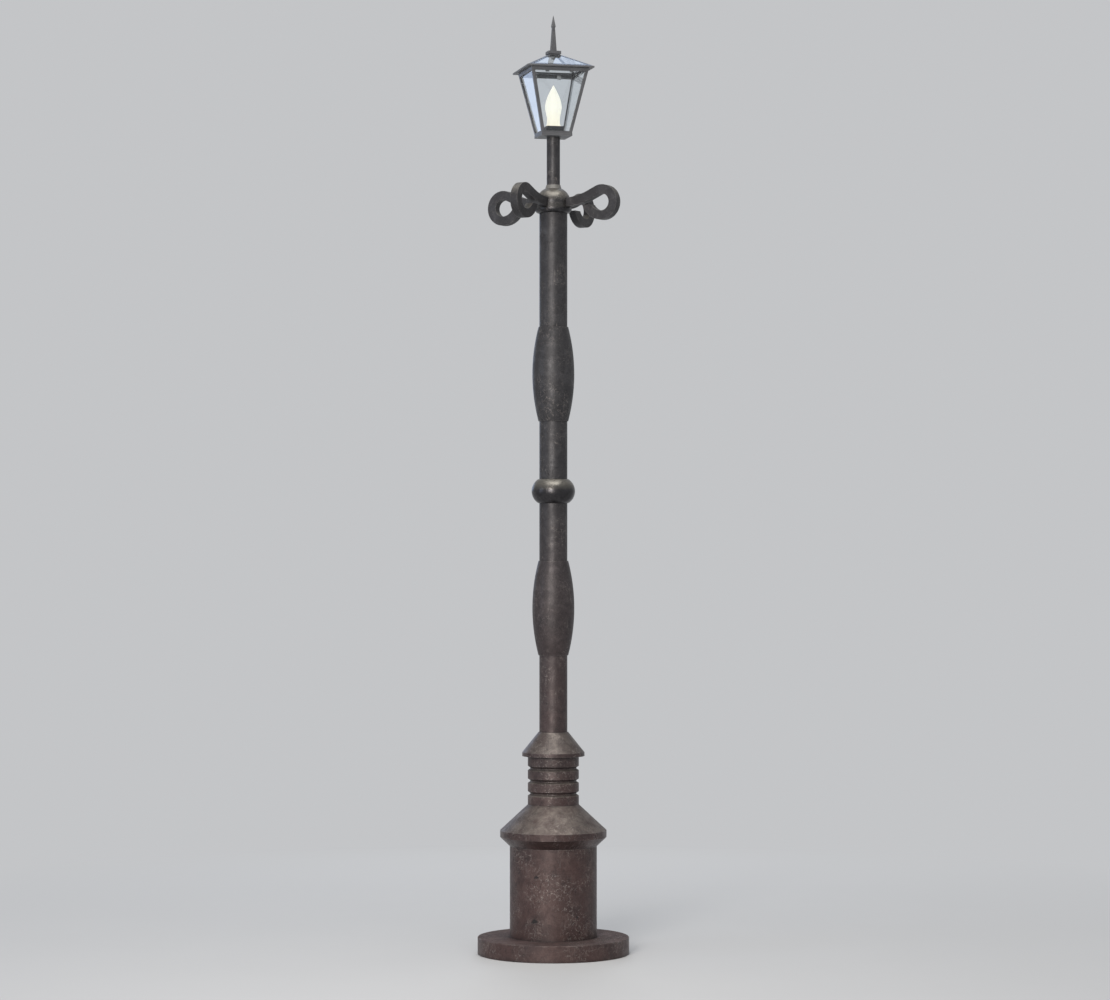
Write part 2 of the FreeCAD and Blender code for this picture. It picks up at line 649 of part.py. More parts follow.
def pedestal_cap():
    cone_run = CAP_BAND_R - NECK_R
    cone_drop = CAP_WALL / math.cos(math.atan2(CAP_CONE_H, cone_run))
    under_run = CAP_BAND_R - PEDESTAL_R
    under_in = CAP_WALL / math.sin(math.atan2(CAP_UNDER_H, under_run))
    band_in = CAP_BAND_R - CAP_WALL
    ceiling = Z_NECK - cone_drop
    hub_r = COLUMN_BORE + CAP_HUB_WALL
    seat_in = PEDESTAL_R + under_run * CAP_SEAT_T / CAP_UNDER_H - under_in
    cone_foot = Z_CONE + (CAP_BAND_R - band_in) * CAP_CONE_H / cone_run - cone_drop
    under_top = Z_CAP + (band_in + under_in - PEDESTAL_R) * CAP_UNDER_H / under_run
    cap = revolved([
        (FLANGE_IN, Z_CAP), (PEDESTAL_R, Z_CAP), (CAP_BAND_R, Z_BAND), (CAP_BAND_R, Z_CONE),
        (NECK_R, Z_NECK), (COLUMN_BORE, Z_NECK), (COLUMN_BORE, Z_COLUMN),
        (COLUMN_BORE - CAP_LEDGE_W, Z_COLUMN), (COLUMN_BORE - CAP_LEDGE_W, Z_COLUMN - CAP_LEDGE_T),
        (hub_r, Z_COLUMN - CAP_LEDGE_T), (hub_r, ceiling), (NECK_R, ceiling), (band_in, cone_foot),
        (band_in, under_top), (seat_in, Z_CAP + CAP_SEAT_T), (FLANGE_IN, Z_CAP + CAP_SEAT_T)])
    sink = CAP_WALL / 2
    gusset = Part.Face(Part.makePolygon([
        V(hub_r - sink, 0, Z_COLUMN), V(hub_r - sink, 0, ceiling + sink), V(NECK_R, 0, ceiling + sink),
        V(band_in, 0, cone_foot + sink), V(hub_r - sink, 0, Z_COLUMN)]))
    gusset = moved(gusset, 0, -CAP_GUSSET_T / 2, 0).extrude(V(0, CAP_GUSSET_T, 0))
    thread = Part.makeCylinder(BOLT_R + THREAD_ROOM, BOLT_ENTRY + CUT_PAST, V(0, 0, Z_CAP))
    return joined(cap, four(gusset, DIAGONAL)).cut([moved(thread, x, y, 0) for x, y in flange_bolt_places()])


def neck():
    outline = [(COLUMN_BORE, Z_NECK), (NECK_R, Z_NECK)]
    for k in range(GROOVES):
        middle = Z_NECK + GROOVE_FIRST + k * GROOVE_PITCH
        outline += [(NECK_R, middle - GROOVE_MOUTH / 2), (NECK_R - GROOVE_DEPTH, middle - GROOVE_FLOOR / 2),
                    (NECK_R - GROOVE_DEPTH, middle + GROOVE_FLOOR / 2), (NECK_R, middle + GROOVE_MOUTH / 2)]
    hollow_r = NECK_R - GROOVE_DEPTH - NECK_WALL
    outline += [(NECK_R, Z_NECK_CAP), (COLUMN_BORE, Z_NECK_CAP), (COLUMN_BORE, Z_NECK_CAP - NECK_END_T),
                (hollow_r, Z_NECK_CAP - NECK_END_T), (hollow_r, Z_NECK + NECK_END_T),
                (COLUMN_BORE, Z_NECK + NECK_END_T)]
    return revolved(outline)


def neck_cap_radius(z):
    run = NECK_CAP_R - NECK_CAP_TOP_R
    return NECK_CAP_TOP_R + (Z_SHAFT - z) * run / NECK_CAP_CONE_H


def neck_cap():
    rim_top = Z_NECK_CAP + NECK_CAP_RIM_H
    run = NECK_CAP_R - NECK_CAP_TOP_R
    drop = NECK_CAP_WALL / math.cos(math.atan2(NECK_CAP_CONE_H, run))
    seat_in = NECK_CAP_R - NECK_CAP_SEAT_W
    hub_r = COLUMN_BORE + NECK_CAP_HUB_WALL

    def ceiling(radius):
        return Z_SHAFT - (radius - NECK_CAP_TOP_R) * NECK_CAP_CONE_H / run - drop

    hub_foot = Z_SHAFT - NECK_CAP_HUB_L
    cap = revolved([
        (COLUMN_BORE, hub_foot), (COLUMN_BORE, Z_SHAFT), (NECK_CAP_TOP_R, Z_SHAFT), (NECK_CAP_R, rim_top),
        (NECK_CAP_R, Z_NECK_CAP), (seat_in, Z_NECK_CAP), (seat_in, ceiling(seat_in)),
        (hub_r, ceiling(hub_r)), (hub_r, hub_foot)])
    return cap.cut(screw_hole("neck_cap"))


# Column and what is slipped on it

def bracket_bolt_holes(start_r, end_r):
    hole = rod(BRACKET_BOLT_R + THREAD_ROOM, V(start_r, 0, SCROLL_Z), V(end_r, 0, SCROLL_Z))
    return four(hole, DIAGONAL)


def column_tube():
    bore = COLUMN_R - COLUMN_WALL
    tube = revolved([(bore, Z_COLUMN), (COLUMN_R, Z_COLUMN), (COLUMN_R, Z_COLUMN_TOP), (bore, Z_COLUMN_TOP)])
    return tube.cut(bracket_bolt_holes(bore - CUT_PAST, COLUMN_R + CUT_PAST))


def sleeve(z, name):
    """Hollow barrel that bears on the column at its two ends."""
    top = z + SLEEVE_H
    middle = z + SLEEVE_H / 2
    barrel = revolved([
        (COLUMN_BORE, z), (SLEEVE_END_R, z), (SLEEVE_R, middle, SLEEVE_END_R, top), (COLUMN_BORE, top),
        (COLUMN_BORE, top - SLEEVE_HUB_L),
        (SLEEVE_R - SLEEVE_WALL, middle, COLUMN_BORE, z + SLEEVE_HUB_L)])
    return barrel.cut(screw_hole(name))


def mid_ring():
    ring = revolved([
        (COLUMN_BORE, Z_RING), (RING_END_R, Z_RING),
        (RING_R, Z_RING + RING_H / 2, RING_END_R, Z_RING + RING_H), (COLUMN_BORE, Z_RING + RING_H)])
    return ring.cut(screw_hole("mid_ring"))


def round_radius(wide_r, end_r, length, away):
    """Radius of a round outline, away from its widest circle, that reaches end_r after its length."""
    arc_r = ((wide_r - end_r) ** 2 + length ** 2) / (2 * (wide_r - end_r))
    return wide_r - arc_r + math.sqrt(arc_r ** 2 - away ** 2)


def dome_radius(z):
    return round_radius(COLLAR_R, FERRULE_R, COLLAR_DOME_H, z - Z_DOME)


def bracket_collar():
    """Domed collar that widens a little down to a round lip."""
    lip_mid_r = round_radius(COLLAR_LIP_R, COLLAR_END_R, COLLAR_LIP_H, COLLAR_LIP_H / 2)
    dome_mid_z = Z_DOME + COLLAR_DOME_H / 2
    tube_bore = TUBE_R + SLIP
    collar = revolved([
        (COLUMN_BORE, Z_COLLAR), (COLLAR_END_R, Z_COLLAR),
        (lip_mid_r, Z_LIP - COLLAR_LIP_H / 2, COLLAR_LIP_R, Z_LIP), (COLLAR_R, Z_DOME),
        (dome_radius(dome_mid_z), dome_mid_z, FERRULE_R, Z_FERRULE), (tube_bore, Z_FERRULE),
        (tube_bore, Z_TUBE_FOOT), (COLLAR_CABLE_R, Z_TUBE_FOOT), (COLLAR_CABLE_R, Z_COLUMN_TOP),
        (COLUMN_BORE, Z_COLUMN_TOP)])
    half_w = SCROLL_W / 2 + SCROLL_ROOM
    half_t = SCROLL_T / 2 + SCROLL_ROOM
    pocket = block(SCROLL_SEAT_R, COLLAR_LIP_R + CUT_PAST, -half_w, half_w,
                   SCROLL_Z - half_t, SCROLL_Z + half_t)
    cuts = four(pocket, DIAGONAL) + bracket_bolt_holes(COLUMN_R, SCROLL_SEAT_R + CUT_PAST)
    return collar.cut(cuts + [screw_hole("collar_foot"), screw_hole("collar_top")])


def tube_ferrule():
    bore = TUBE_R + SLIP
    ring = revolved([(bore, Z_FERRULE), (FERRULE_R, Z_FERRULE), (FERRULE_TOP_R, Z_TUBE), (bore, Z_TUBE)])
    return ring.cut(screw_hole("tube_ferrule"))


# Scroll brackets

def scroll_bracket(degrees):
    """Bar that leaves the collar level, bends up, turns once round an eye and ends in an open tail."""
    half = SCROLL_T / 2
    rise = math.radians(SCROLL_RISE_DEG)
    root_centre = (SCROLL_SEAT_R, SCROLL_Z + SCROLL_ROOT_BEND_R)
    root_end = (root_centre[0] + SCROLL_ROOT_BEND_R * math.sin(rise),
                root_centre[1] - SCROLL_ROOT_BEND_R * math.cos(rise))
    eye = (root_end[0] + SCROLL_STRAIGHT * math.cos(rise) + SCROLL_EYE_R * math.sin(rise),
           root_end[1] + SCROLL_STRAIGHT * math.sin(rise) - SCROLL_EYE_R * math.cos(rise))
    tail = (eye[0], eye[1] - SCROLL_EYE_R + SCROLL_TAIL_R)
    cut_drop = SCROLL_TAIL_R - SCROLL_CUT_UP

    def at(centre, radius, angle):
        return V(centre[0] + radius * math.cos(angle), 0, centre[1] + radius * math.sin(angle))

    def arc(centre, radius, start, end):
        points = [at(centre, radius, a) for a in (start, (start + end) / 2, end)]
        return Part.Arc(*points).toShape()

    def line(start, end):
        return Part.LineSegment(start, end).toShape()

    down = -math.pi / 2
    eye_start = math.pi / 2 + rise
    inner_r = SCROLL_TAIL_R - half
    outer_r = SCROLL_TAIL_R + half
    inner_end = -math.pi + math.asin(cut_drop / inner_r)
    outer_end = -math.pi + math.asin(cut_drop / outer_r)
    upper_root = SCROLL_ROOT_BEND_R - half
    lower_root = SCROLL_ROOT_BEND_R + half
    outline = [
        arc(root_centre, lower_root, down, down + rise),
        line(at(root_centre, lower_root, down + rise), at(eye, SCROLL_EYE_R - half, eye_start)),
        arc(eye, SCROLL_EYE_R - half, eye_start, down),
        arc(tail, inner_r, down, inner_end),
        line(at(tail, inner_r, inner_end), at(tail, outer_r, outer_end)),
        arc(tail, outer_r, outer_end, down),
        arc(eye, SCROLL_EYE_R + half, down, eye_start),
        line(at(eye, SCROLL_EYE_R + half, eye_start), at(root_centre, upper_root, down + rise)),
        arc(root_centre, upper_root, down + rise, down),
        line(at(root_centre, upper_root, down), at(root_centre, lower_root, down))]
    side = Part.Face(Part.Wire(outline))
    bar = moved(side, 0, -SCROLL_W / 2, 0).extrude(V(0, SCROLL_W, 0))
    bolt_end = SCROLL_SEAT_R + BRACKET_BOLT_ENTRY + CUT_PAST
    bolt_hole = rod(BRACKET_BOLT_R + THREAD_ROOM, V(SCROLL_SEAT_R, 0, SCROLL_Z), V(bolt_end, 0, SCROLL_Z))
    return turned(bar.cut(bolt_hole), degrees)


def bracket_bolts():
    """Bolts from inside the column, through the collar, into the brackets."""
    head = rod(BRACKET_HEAD_R, V(HEAD_SEAT - BRACKET_HEAD_H, 0, SCROLL_Z), V(HEAD_SEAT, 0, SCROLL_Z))
    shank_end = SCROLL_SEAT_R + BRACKET_BOLT_ENTRY
    shank = rod(BRACKET_BOLT_R, V(HEAD_SEAT, 0, SCROLL_Z), V(shank_end, 0, SCROLL_Z))
    return Part.makeCompound(four(joined(head, [shank]), DIAGONAL))


# Set screws, each from a seat radius out to just under the face of the casting it holds

def screw_places():
    hub_z = Z_SHAFT - NECK_CAP_HUB_L / 2
    collar_top_z = (Z_TUBE_FOOT + Z_FERRULE) / 2
    sleeve_face = bulge_radius(SLEEVE_END_R, SLEEVE_R, SLEEVE_H, SET_SCREW_UP - SET_SCREW_R)
    ferrule_slope = (FERRULE_R - FERRULE_TOP_R) / FERRULE_H
    ferrule_face = FERRULE_TOP_R + ferrule_slope * (FERRULE_H / 2 - SET_SCREW_R)
    return {
        "neck_cap": (hub_z, COLUMN_R, neck_cap_radius(hub_z + SET_SCREW_R)),
        "lower_sleeve": (Z_LOWER + SET_SCREW_UP, COLUMN_R, sleeve_face),
        "mid_ring": (Z_RING + RING_H / 2, COLUMN_R, RING_R),
        "upper_sleeve": (Z_UPPER + SET_SCREW_UP, COLUMN_R, sleeve_face),
        "collar_foot": ((Z_LIP + Z_DOME) / 2, COLUMN_R, (COLLAR_LIP_R + COLLAR_R) / 2),
        "collar_top": (collar_top_z, TUBE_R, dome_radius(collar_top_z + SET_SCREW_R)),
        "tube_ferrule": (Z_FERRULE + FERRULE_H / 2, TUBE_R, ferrule_face),
        "lantern_tube": (Z_PLATE - SPIGOT_L / 2, SPIGOT_R, TUBE_R)}


def screw_hole(name):
    z, seat, face = screw_places()[name]
    past = 3 * SET_SCREW_R
    return rod(SET_SCREW_R + THREAD_ROOM, V(0, seat - CUT_PAST, z), V(0, face + past, z))


def set_screws():
    return Part.makeCompound([
        rod(SET_SCREW_R, V(0, seat, z), V(0, face - SET_SCREW_SINK, z))
        for z, seat, face in screw_places().values()])


# Lantern

def lantern_tube():
    bore = TUBE_R - TUBE_WALL
    tube = revolved([(bore, Z_TUBE_FOOT), (TUBE_R, Z_TUBE_FOOT), (TUBE_R, Z_PLATE), (bore, Z_PLATE)])
    return tube.cut(screw_hole("lantern_tube"))


def frame_screw_places():
    return [(x, y) for x in (-FRAME_SCREW_XY, FRAME_SCREW_XY) for y in (-FRAME_SCREW_XY, FRAME_SCREW_XY)]


def lantern_base():
    plate = square_taper(PLATE_HALF, PLATE_HALF, Z_PLATE, Z_BODY)
    spigot = Part.makeCylinder(SPIGOT_R, SPIGOT_L, V(0, 0, Z_PLATE - SPIGOT_L))
    duct = Part.makeCylinder(SPIGOT_R - SPIGOT_WALL, SPIGOT_L + PLATE_T, V(0, 0, Z_PLATE - SPIGOT_L))
    thread = Part.makeCylinder(FRAME_SCREW_R + THREAD_ROOM, FRAME_SCREW_ENTRY,
                               V(0, 0, Z_BODY - FRAME_SCREW_ENTRY))
    return joined(plate, [spigot]).cut([duct] + [moved(thread, x, y, 0) for x, y in frame_screw_places()])


def body_knuckle(x):
    """Middle knuckle of a roof hinge, on a web from the back top rail."""
    half_l = BODY_KNUCKLE_L / 2
    web = block(x - half_l, x + half_l, body_half(ROOF_HINGE_Z) - FRAME_T / 2, ROOF_HINGE_Y,
                ROOF_HINGE_Z - HINGE_WEB_T / 2, ROOF_HINGE_Z + HINGE_WEB_T / 2)
    ends = [V(x - half_l, ROOF_HINGE_Y, ROOF_HINGE_Z), V(x + half_l, ROOF_HINGE_Y, ROOF_HINGE_Z)]
    return joined(web, [rod(ROOF_KNUCKLE_R, *ends)]).cut(rod(ROOF_PIN_R, *ends))


def lantern_frame():
    shell = square_taper(body_half(Z_BODY), body_half(Z_BODY_TOP), Z_BODY, Z_BODY_TOP)
    hollow = square_taper(body_half(Z_BODY) - FRAME_T, body_half(Z_BODY_TOP) - FRAME_T, Z_BODY, Z_BODY_TOP)
    window = face_panel(body_half, Z_BODY + BOTTOM_RAIL_H, Z_BODY_TOP - TOP_RAIL_H, STILE_W,
                        -CUT_PAST, FRAME_T + CUT_PAST)
    ledge_top = Z_BODY + FRAME_LEDGE_T
    ledge = square_taper(body_half(Z_BODY), body_half(ledge_top), Z_BODY, ledge_top)
    ledge = ledge.cut(square_taper(FRAME_LEDGE_HALF, FRAME_LEDGE_HALF, Z_BODY, ledge_top))
    hole = Part.makeCylinder(FRAME_SCREW_R + THREAD_ROOM, FRAME_LEDGE_T, V(0, 0, Z_BODY))
    holes = [moved(hole, x, y, 0) for x, y in frame_screw_places()]
    knuckles = [body_knuckle(x) for x in (-ROOF_HINGE_X, ROOF_HINGE_X)]
    return joined(shell.cut([hollow] + four(window)), [ledge] + knuckles).cut(holes)


def frame_screws():
    shank = FRAME_LEDGE_T + FRAME_SCREW_ENTRY
    head_foot = Z_BODY + FRAME_LEDGE_T
    screw = joined(Part.makeCylinder(FRAME_SCREW_R, shank, V(0, 0, head_foot - shank)),
                   [Part.makeCylinder(FRAME_HEAD_R, FRAME_HEAD_H, V(0, 0, head_foot))])
    return Part.makeCompound([moved(screw, x, y, 0) for x, y in frame_screw_places()])


def side_pane(degrees):
    """Glass that leans on the inside of the frame and stands on its ledge."""
    top = Z_BODY_TOP - TOP_RAIL_H + PANE_LAP
    pane = face_panel(body_half, Z_BODY + FRAME_LEDGE_T, top, FRAME_T + PANE_T + PANE_ROOM,
                      FRAME_T, FRAME_T + PANE_T)
    return turned(pane, degrees)


def pane_clip(x):
    """Stepped clip on the top rail that reaches down over the edge of a pane."""
    pane_top = Z_BODY_TOP - TOP_RAIL_H + PANE_LAP

    def strip(z0, z1, outer, inner):
        ends = [(x - CLIP_W / 2, x + CLIP_W / 2, outer - body_half(z), inner - body_half(z))
                for z in (z0, z1)]
        return tapered(ends[0], ends[1], z0, z1)

    over = FRAME_T + PANE_T
    heel = strip(pane_top + PANE_ROOM, Z_BODY_TOP, FRAME_T, over + CLIP_T)
    tongue = strip(pane_top - CLIP_TONGUE, pane_top + PANE_ROOM, over, over + CLIP_T)
    return joined(heel, [tongue])


def pane_clips():
    return Part.makeCompound(four(pane_clip(-CLIP_X)) + four(pane_clip(CLIP_X)))


def holder_box():
    """Square cover over the lampholder, open below."""
    top = Z_BODY + BOX_H
    inside = BOX_HALF - BOX_WALL
    box = square_taper(BOX_HALF, BOX_HALF, Z_BODY, top)
    hole = Part.makeCylinder(HOLDER_R + PANE_ROOM, BOX_H, V(0, 0, Z_BODY))
    return box.cut([square_taper(inside, inside, Z_BODY, top - BOX_WALL), hole])


def lampholder():
    floor = Z_HOLDER_TOP - HOLDER_BORE_DEPTH
    return revolved([
        (0, Z_BODY), (HOLDER_R, Z_BODY), (HOLDER_R, Z_HOLDER_TOP), (HOLDER_BORE_R, Z_HOLDER_TOP),
        (HOLDER_BORE_R, floor), (0, floor)])


def bulb():
    """Sealed flame-shaped bulb, its cap in the lampholder's bore."""
    glass = Part.BSplineCurve()
    glass.interpolate([
        V(BULB_BASE_R, 0, Z_HOLDER_TOP),
        V(BULB_WAIST_R, 0, Z_HOLDER_TOP + BULB_WAIST_UP),
        V(BULB_R, 0, Z_HOLDER_TOP + BULB_R_UP),
        V(BULB_R / 2, 0, Z_HOLDER_TOP + (BULB_R_UP + 2 * BULB_H) / 3),
        V(0, 0, Z_HOLDER_TOP + BULB_H)])
    cap_r = HOLDER_BORE_R - SLIP
    cap_foot = Z_HOLDER_TOP - BULB_CAP_L
    corners = [V(0, 0, Z_HOLDER_TOP + BULB_H), V(0, 0, cap_foot), V(cap_r, 0, cap_foot),
               V(cap_r, 0, Z_HOLDER_TOP), V(BULB_BASE_R, 0, Z_HOLDER_TOP)]
    edges = [Part.LineSegment(a, b).toShape() for a, b in zip(corners, corners[1:])]
    return Part.Face(Part.Wire(edges + [glass.toShape()])).revolve(V(), V(0, 0, 1), 360)


# Roof

def roof_panel(half_extra, z_extra, outer, inner):
    """Panel on the roof's front slope, wider than the window by half_extra and taller by z_extra."""
    bar_up = ROOF_BAR * math.sin(ROOF_SLOPE)
    inset = ROOF_BAR / math.sin(ROOF_HIP)
    run = 1 / math.sin(ROOF_SLOPE)
    return face_panel(roof_half, Z_ROOF + bar_up - z_extra, Z_ROOF_TOP - bar_up + z_extra,
                      inset - half_extra, outer * run, inner * run)


def roof_knuckles(x):
    """Two outer knuckles of a roof hinge, hung under the eave."""
    inner_end = BODY_KNUCKLE_L / 2 + MOVE_GAP
    outer_end = inner_end + ROOF_KNUCKLE_L
    knuckles = []
    for x0, x1 in ((x - outer_end, x - inner_end), (x + inner_end, x + outer_end)):
        ends = [V(x0, ROOF_HINGE_Y, ROOF_HINGE_Z), V(x1, ROOF_HINGE_Y, ROOF_HINGE_Z)]
        web = block(x0, x1, ROOF_HINGE_Y - HINGE_WEB_T / 2, ROOF_HINGE_Y + HINGE_WEB_T / 2,
                    ROOF_HINGE_Z, Z_ROOF)
        knuckles.append(joined(web, [rod(ROOF_KNUCKLE_R, *ends)]).cut(rod(ROOF_PIN_R + PIN_RUN, *ends)))
    return knuckles


def roof_frame():
    run = ROOF_T / math.sin(ROOF_SLOPE)
    ceiling = Z_ROOF_TOP - ROOF_TOP_T
    shell = square_taper(ROOF_FOOT_HALF, ROOF_TOP_HALF, Z_ROOF, Z_ROOF_TOP)
    hollow = square_taper(ROOF_FOOT_HALF - run, roof_half(ceiling) - run, Z_ROOF, ceiling)
    window = roof_panel(0, 0, -ROOF_T, 2 * ROOF_T)
    lap_up = ROOF_PANE_LAP * math.sin(ROOF_SLOPE)
    rebate = roof_panel(ROOF_PANE_LAP, lap_up, -ROOF_T, ROOF_PANE_T + ROOF_PANE_SINK)
    mouth = EAVE_HALF - EAVE_W
    eave = square_taper(EAVE_HALF, EAVE_HALF, Z_EAVE, Z_ROOF).cut(square_taper(mouth, mouth, Z_EAVE, Z_ROOF))
    stud_hole = Part.makeCylinder(FINIAL_STUD_R + BOLT_ROOM, ROOF_RISE, V(0, 0, Z_ROOF))
    knuckles = roof_knuckles(-ROOF_HINGE_X) + roof_knuckles(ROOF_HINGE_X)
    slopes = shell.cut([hollow] + four(window) + four(rebate) + [stud_hole])
    return joined(slopes, [eave] + knuckles)


def roof_pane(degrees):
    lap = ROOF_PANE_LAP - PANE_ROOM
    pane = roof_panel(lap, lap * math.sin(ROOF_SLOPE), ROOF_PANE_SINK, ROOF_PANE_T + ROOF_PANE_SINK)
    return turned(pane, degrees)


def roof_cap():
    neck_block = square_taper(ROOF_CAP_NECK_HALF, ROOF_CAP_NECK_HALF, Z_ROOF_TOP, Z_ROOF_CAP)
    cap = square_taper(ROOF_CAP_HALF, ROOF_CAP_HALF, Z_ROOF_CAP, Z_FINIAL)
    stud_hole = Part.makeCylinder(FINIAL_STUD_R + BOLT_ROOM, Z_FINIAL - Z_ROOF_TOP, V(0, 0, Z_ROOF_TOP))
    return joined(cap, [neck_block]).cut(stud_hole)


def finial():
    """Square spire that flares under its arrowhead, with a threaded stud below."""
    bevel_foot = Z_FINIAL + FINIAL_SHAFT_H
    point_foot = bevel_foot + FINIAL_BEVEL_H
    shaft = square_taper(FINIAL_FOOT_HALF, FINIAL_TOP_HALF, Z_FINIAL, bevel_foot)
    bevel = square_taper(FINIAL_TOP_HALF, POINT_HALF, bevel_foot, point_foot)
    point = square_taper(POINT_HALF, POINT_TIP_HALF, point_foot, point_foot + POINT_H)
    stud_foot = Z_ROOF_TOP - ROOF_TOP_T - FINIAL_NUT_T - FINIAL_STUD_PAST
    stud = Part.makeCylinder(FINIAL_STUD_R, Z_FINIAL - stud_foot, V(0, 0, stud_foot))
    return joined(shaft, [bevel, point, stud])


def finial_nut():
    top = Z_ROOF_TOP - ROOF_TOP_T
    nut = hexagon(FINIAL_NUT_FLATS, top - FINIAL_NUT_T, top)
    return nut.cut(Part.makeCylinder(FINIAL_STUD_R + THREAD_ROOM, FINIAL_NUT_T, V(0, 0, top - FINIAL_NUT_T)))


def roof_hinge_pins():
    half_l = BODY_KNUCKLE_L / 2 + MOVE_GAP + ROOF_KNUCKLE_L
    return Part.makeCompound([
        rod(ROOF_PIN_R, V(x - half_l, ROOF_HINGE_Y, ROOF_HINGE_Z), V(x + half_l, ROOF_HINGE_Y, ROOF_HINGE_Z))
        for x in (-ROOF_HINGE_X, ROOF_HINGE_X)])


# All pieces by name

pieces = {
    "base_plate": base_plate(),
    "pedestal": pedestal(),
    "flange_bolts": flange_bolts(),
    "access_door": access_door(),
    "door_hinge_pins": door_hinge_pins(),
    "lock_barrel": lock_barrel(),
    "lock_nut": lock_nut(),
    "lock_cam": lock_cam(),
    "gear_board": gear_board(),
    "board_screws": board_screws(),
    "cutout_base": cutout_base(),
    "fuse_carrier": fuse_carrier(),
    "cable_glands": cable_glands(),
    "pedestal_cap": pedestal_cap(),
    "neck": neck(),
    "neck_cap": neck_cap(),
    "column_tube": column_tube(),
    "lower_sleeve": sleeve(Z_LOWER, "lower_sleeve"),
    "mid_ring": mid_ring(),
    "upper_sleeve": sleeve(Z_UPPER, "upper_sleeve"),
    "bracket_collar": bracket_collar(),
    "bracket_bolts": bracket_bolts(),
    "set_screws": set_screws(),
    "tube_ferrule": tube_ferrule(),
    "lantern_tube": lantern_tube(),
    "lantern_base": lantern_base(),
    "lantern_frame": lantern_frame(),
    "frame_screws": frame_screws(),
    "pane_clips": pane_clips(),
    "holder_box": holder_box(),
    "lampholder": lampholder(),
    "bulb": bulb(),
    "roof_frame": roof_frame(),
    "roof_cap": roof_cap(),
    "finial": finial(),
    "finial_nut": finial_nut(),
    "roof_hinge_pins": roof_hinge_pins(),
}
for quarter in range(4):
    pieces[f"scroll_bracket_{quarter + 1}"] = scroll_bracket(DIAGONAL + 90 * quarter)
    pieces[f"side_pane_{quarter + 1}"] = side_pane(90 * quarter)
    pieces[f"roof_pane_{quarter + 1}"] = roof_pane(90 * quarter)

os.makedirs("parts", exist_ok=True)
for name, shape in pieces.items():
    shape.exportStep(f"parts/{name}.step")
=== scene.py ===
import json
import math

import bpy
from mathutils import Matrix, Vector

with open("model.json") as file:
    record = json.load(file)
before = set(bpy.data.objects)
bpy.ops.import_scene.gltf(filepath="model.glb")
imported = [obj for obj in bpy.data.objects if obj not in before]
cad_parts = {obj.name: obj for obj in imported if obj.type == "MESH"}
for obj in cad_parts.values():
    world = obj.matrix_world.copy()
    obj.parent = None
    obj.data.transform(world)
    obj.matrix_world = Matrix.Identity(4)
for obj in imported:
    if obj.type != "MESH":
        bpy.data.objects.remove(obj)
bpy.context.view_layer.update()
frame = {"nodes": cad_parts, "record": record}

nodes = frame["nodes"]
scene = bpy.context.scene
scene.view_settings.view_transform = "Standard"


# Node helpers

# The middle value of a noise, and the detail of the noise that bends a web
MIDDLE = 0.5
WEB_DETAIL = 3.0


def feed(tree, socket, value):
    """Links another node's output to the socket, or sets the socket to a plain value."""
    if isinstance(value, bpy.types.NodeSocket):
        tree.links.new(value, socket)
    else:
        socket.default_value = value


def put(tree, kind, links=None, **settings):
    """Adds a node; links maps input names to values or to other nodes' outputs."""
    made = tree.nodes.new(kind)
    for key, value in settings.items():
        setattr(made, key, value)
    for key, value in (links or {}).items():
        feed(tree, made.inputs[key], value)
    return made


def calc(tree, operation, a, b=0.0, clamp=False):
    return put(tree, "ShaderNodeMath", {0: a, 1: b}, operation=operation, use_clamp=clamp).outputs[0]


def times(tree, a, b):
    return calc(tree, "MULTIPLY", a, b)


def larger(tree, a, b):
    return calc(tree, "MAXIMUM", a, b)


def vector_calc(tree, operation, links, output="Vector"):
    return put(tree, "ShaderNodeVectorMath", links, operation=operation).outputs[output]


def height_of(tree, vector):
    return put(tree, "ShaderNodeSeparateXYZ", {0: vector}).outputs["Z"]


def noise(tree, where, scale, detail=4.0, rough=0.55, distort=0.0):
    """Noise with scale waves a metre."""
    links = {"Vector": where, "Scale": scale, "Detail": detail,
             "Roughness": rough, "Distortion": distort}
    return put(tree, "ShaderNodeTexNoise", links).outputs[0]


def cells(tree, where, scale):
    """Distance to the nearest of scattered points, scale of them a metre, in cells."""
    return put(tree, "ShaderNodeTexVoronoi", {"Vector": where, "Scale": scale}).outputs["Distance"]


def web(tree, where, scale, warp):
    """Distance to the nearest line of a crazed web, in cells; its lines wander by warp, in metres."""
    links = {"Vector": where, "Scale": scale, "Detail": WEB_DETAIL}
    drift = put(tree, "ShaderNodeTexNoise", links).outputs["Color"]
    drift = vector_calc(tree, "SUBTRACT", {0: drift, 1: (MIDDLE, MIDDLE, MIDDLE)})
    drift = vector_calc(tree, "SCALE", {0: drift, "Scale": warp})
    links = {"Vector": vector_calc(tree, "ADD", {0: where, 1: drift}), "Scale": scale}
    return put(tree, "ShaderNodeTexVoronoi", links, feature="DISTANCE_TO_EDGE").outputs["Distance"]


def span(tree, value, low, high, to_low=0.0, to_high=1.0):
    """Maps low..high to to_low..to_high and holds the ends."""
    links = {"Value": value, "From Min": low, "From Max": high, "To Min": to_low, "To Max": to_high}
    return put(tree, "ShaderNodeMapRange", links).outputs[0]


def area(tree, where, scale, detail, low, high, most=1.0):
    """Mask of the areas where a noise is high: it comes in from low to high, up to most."""
    return span(tree, noise(tree, where, scale, detail), low, high, 0.0, most)


def blend(tree, amount, a, b, mode="MIX"):
    """Mixes two colours; 0, 6, 7 and 2 are the mix node's sockets for its amount and colours."""
    links = {0: amount, 6: a, 7: b}
    return put(tree, "ShaderNodeMix", links, data_type="RGBA", blend_type=mode).outputs[2]


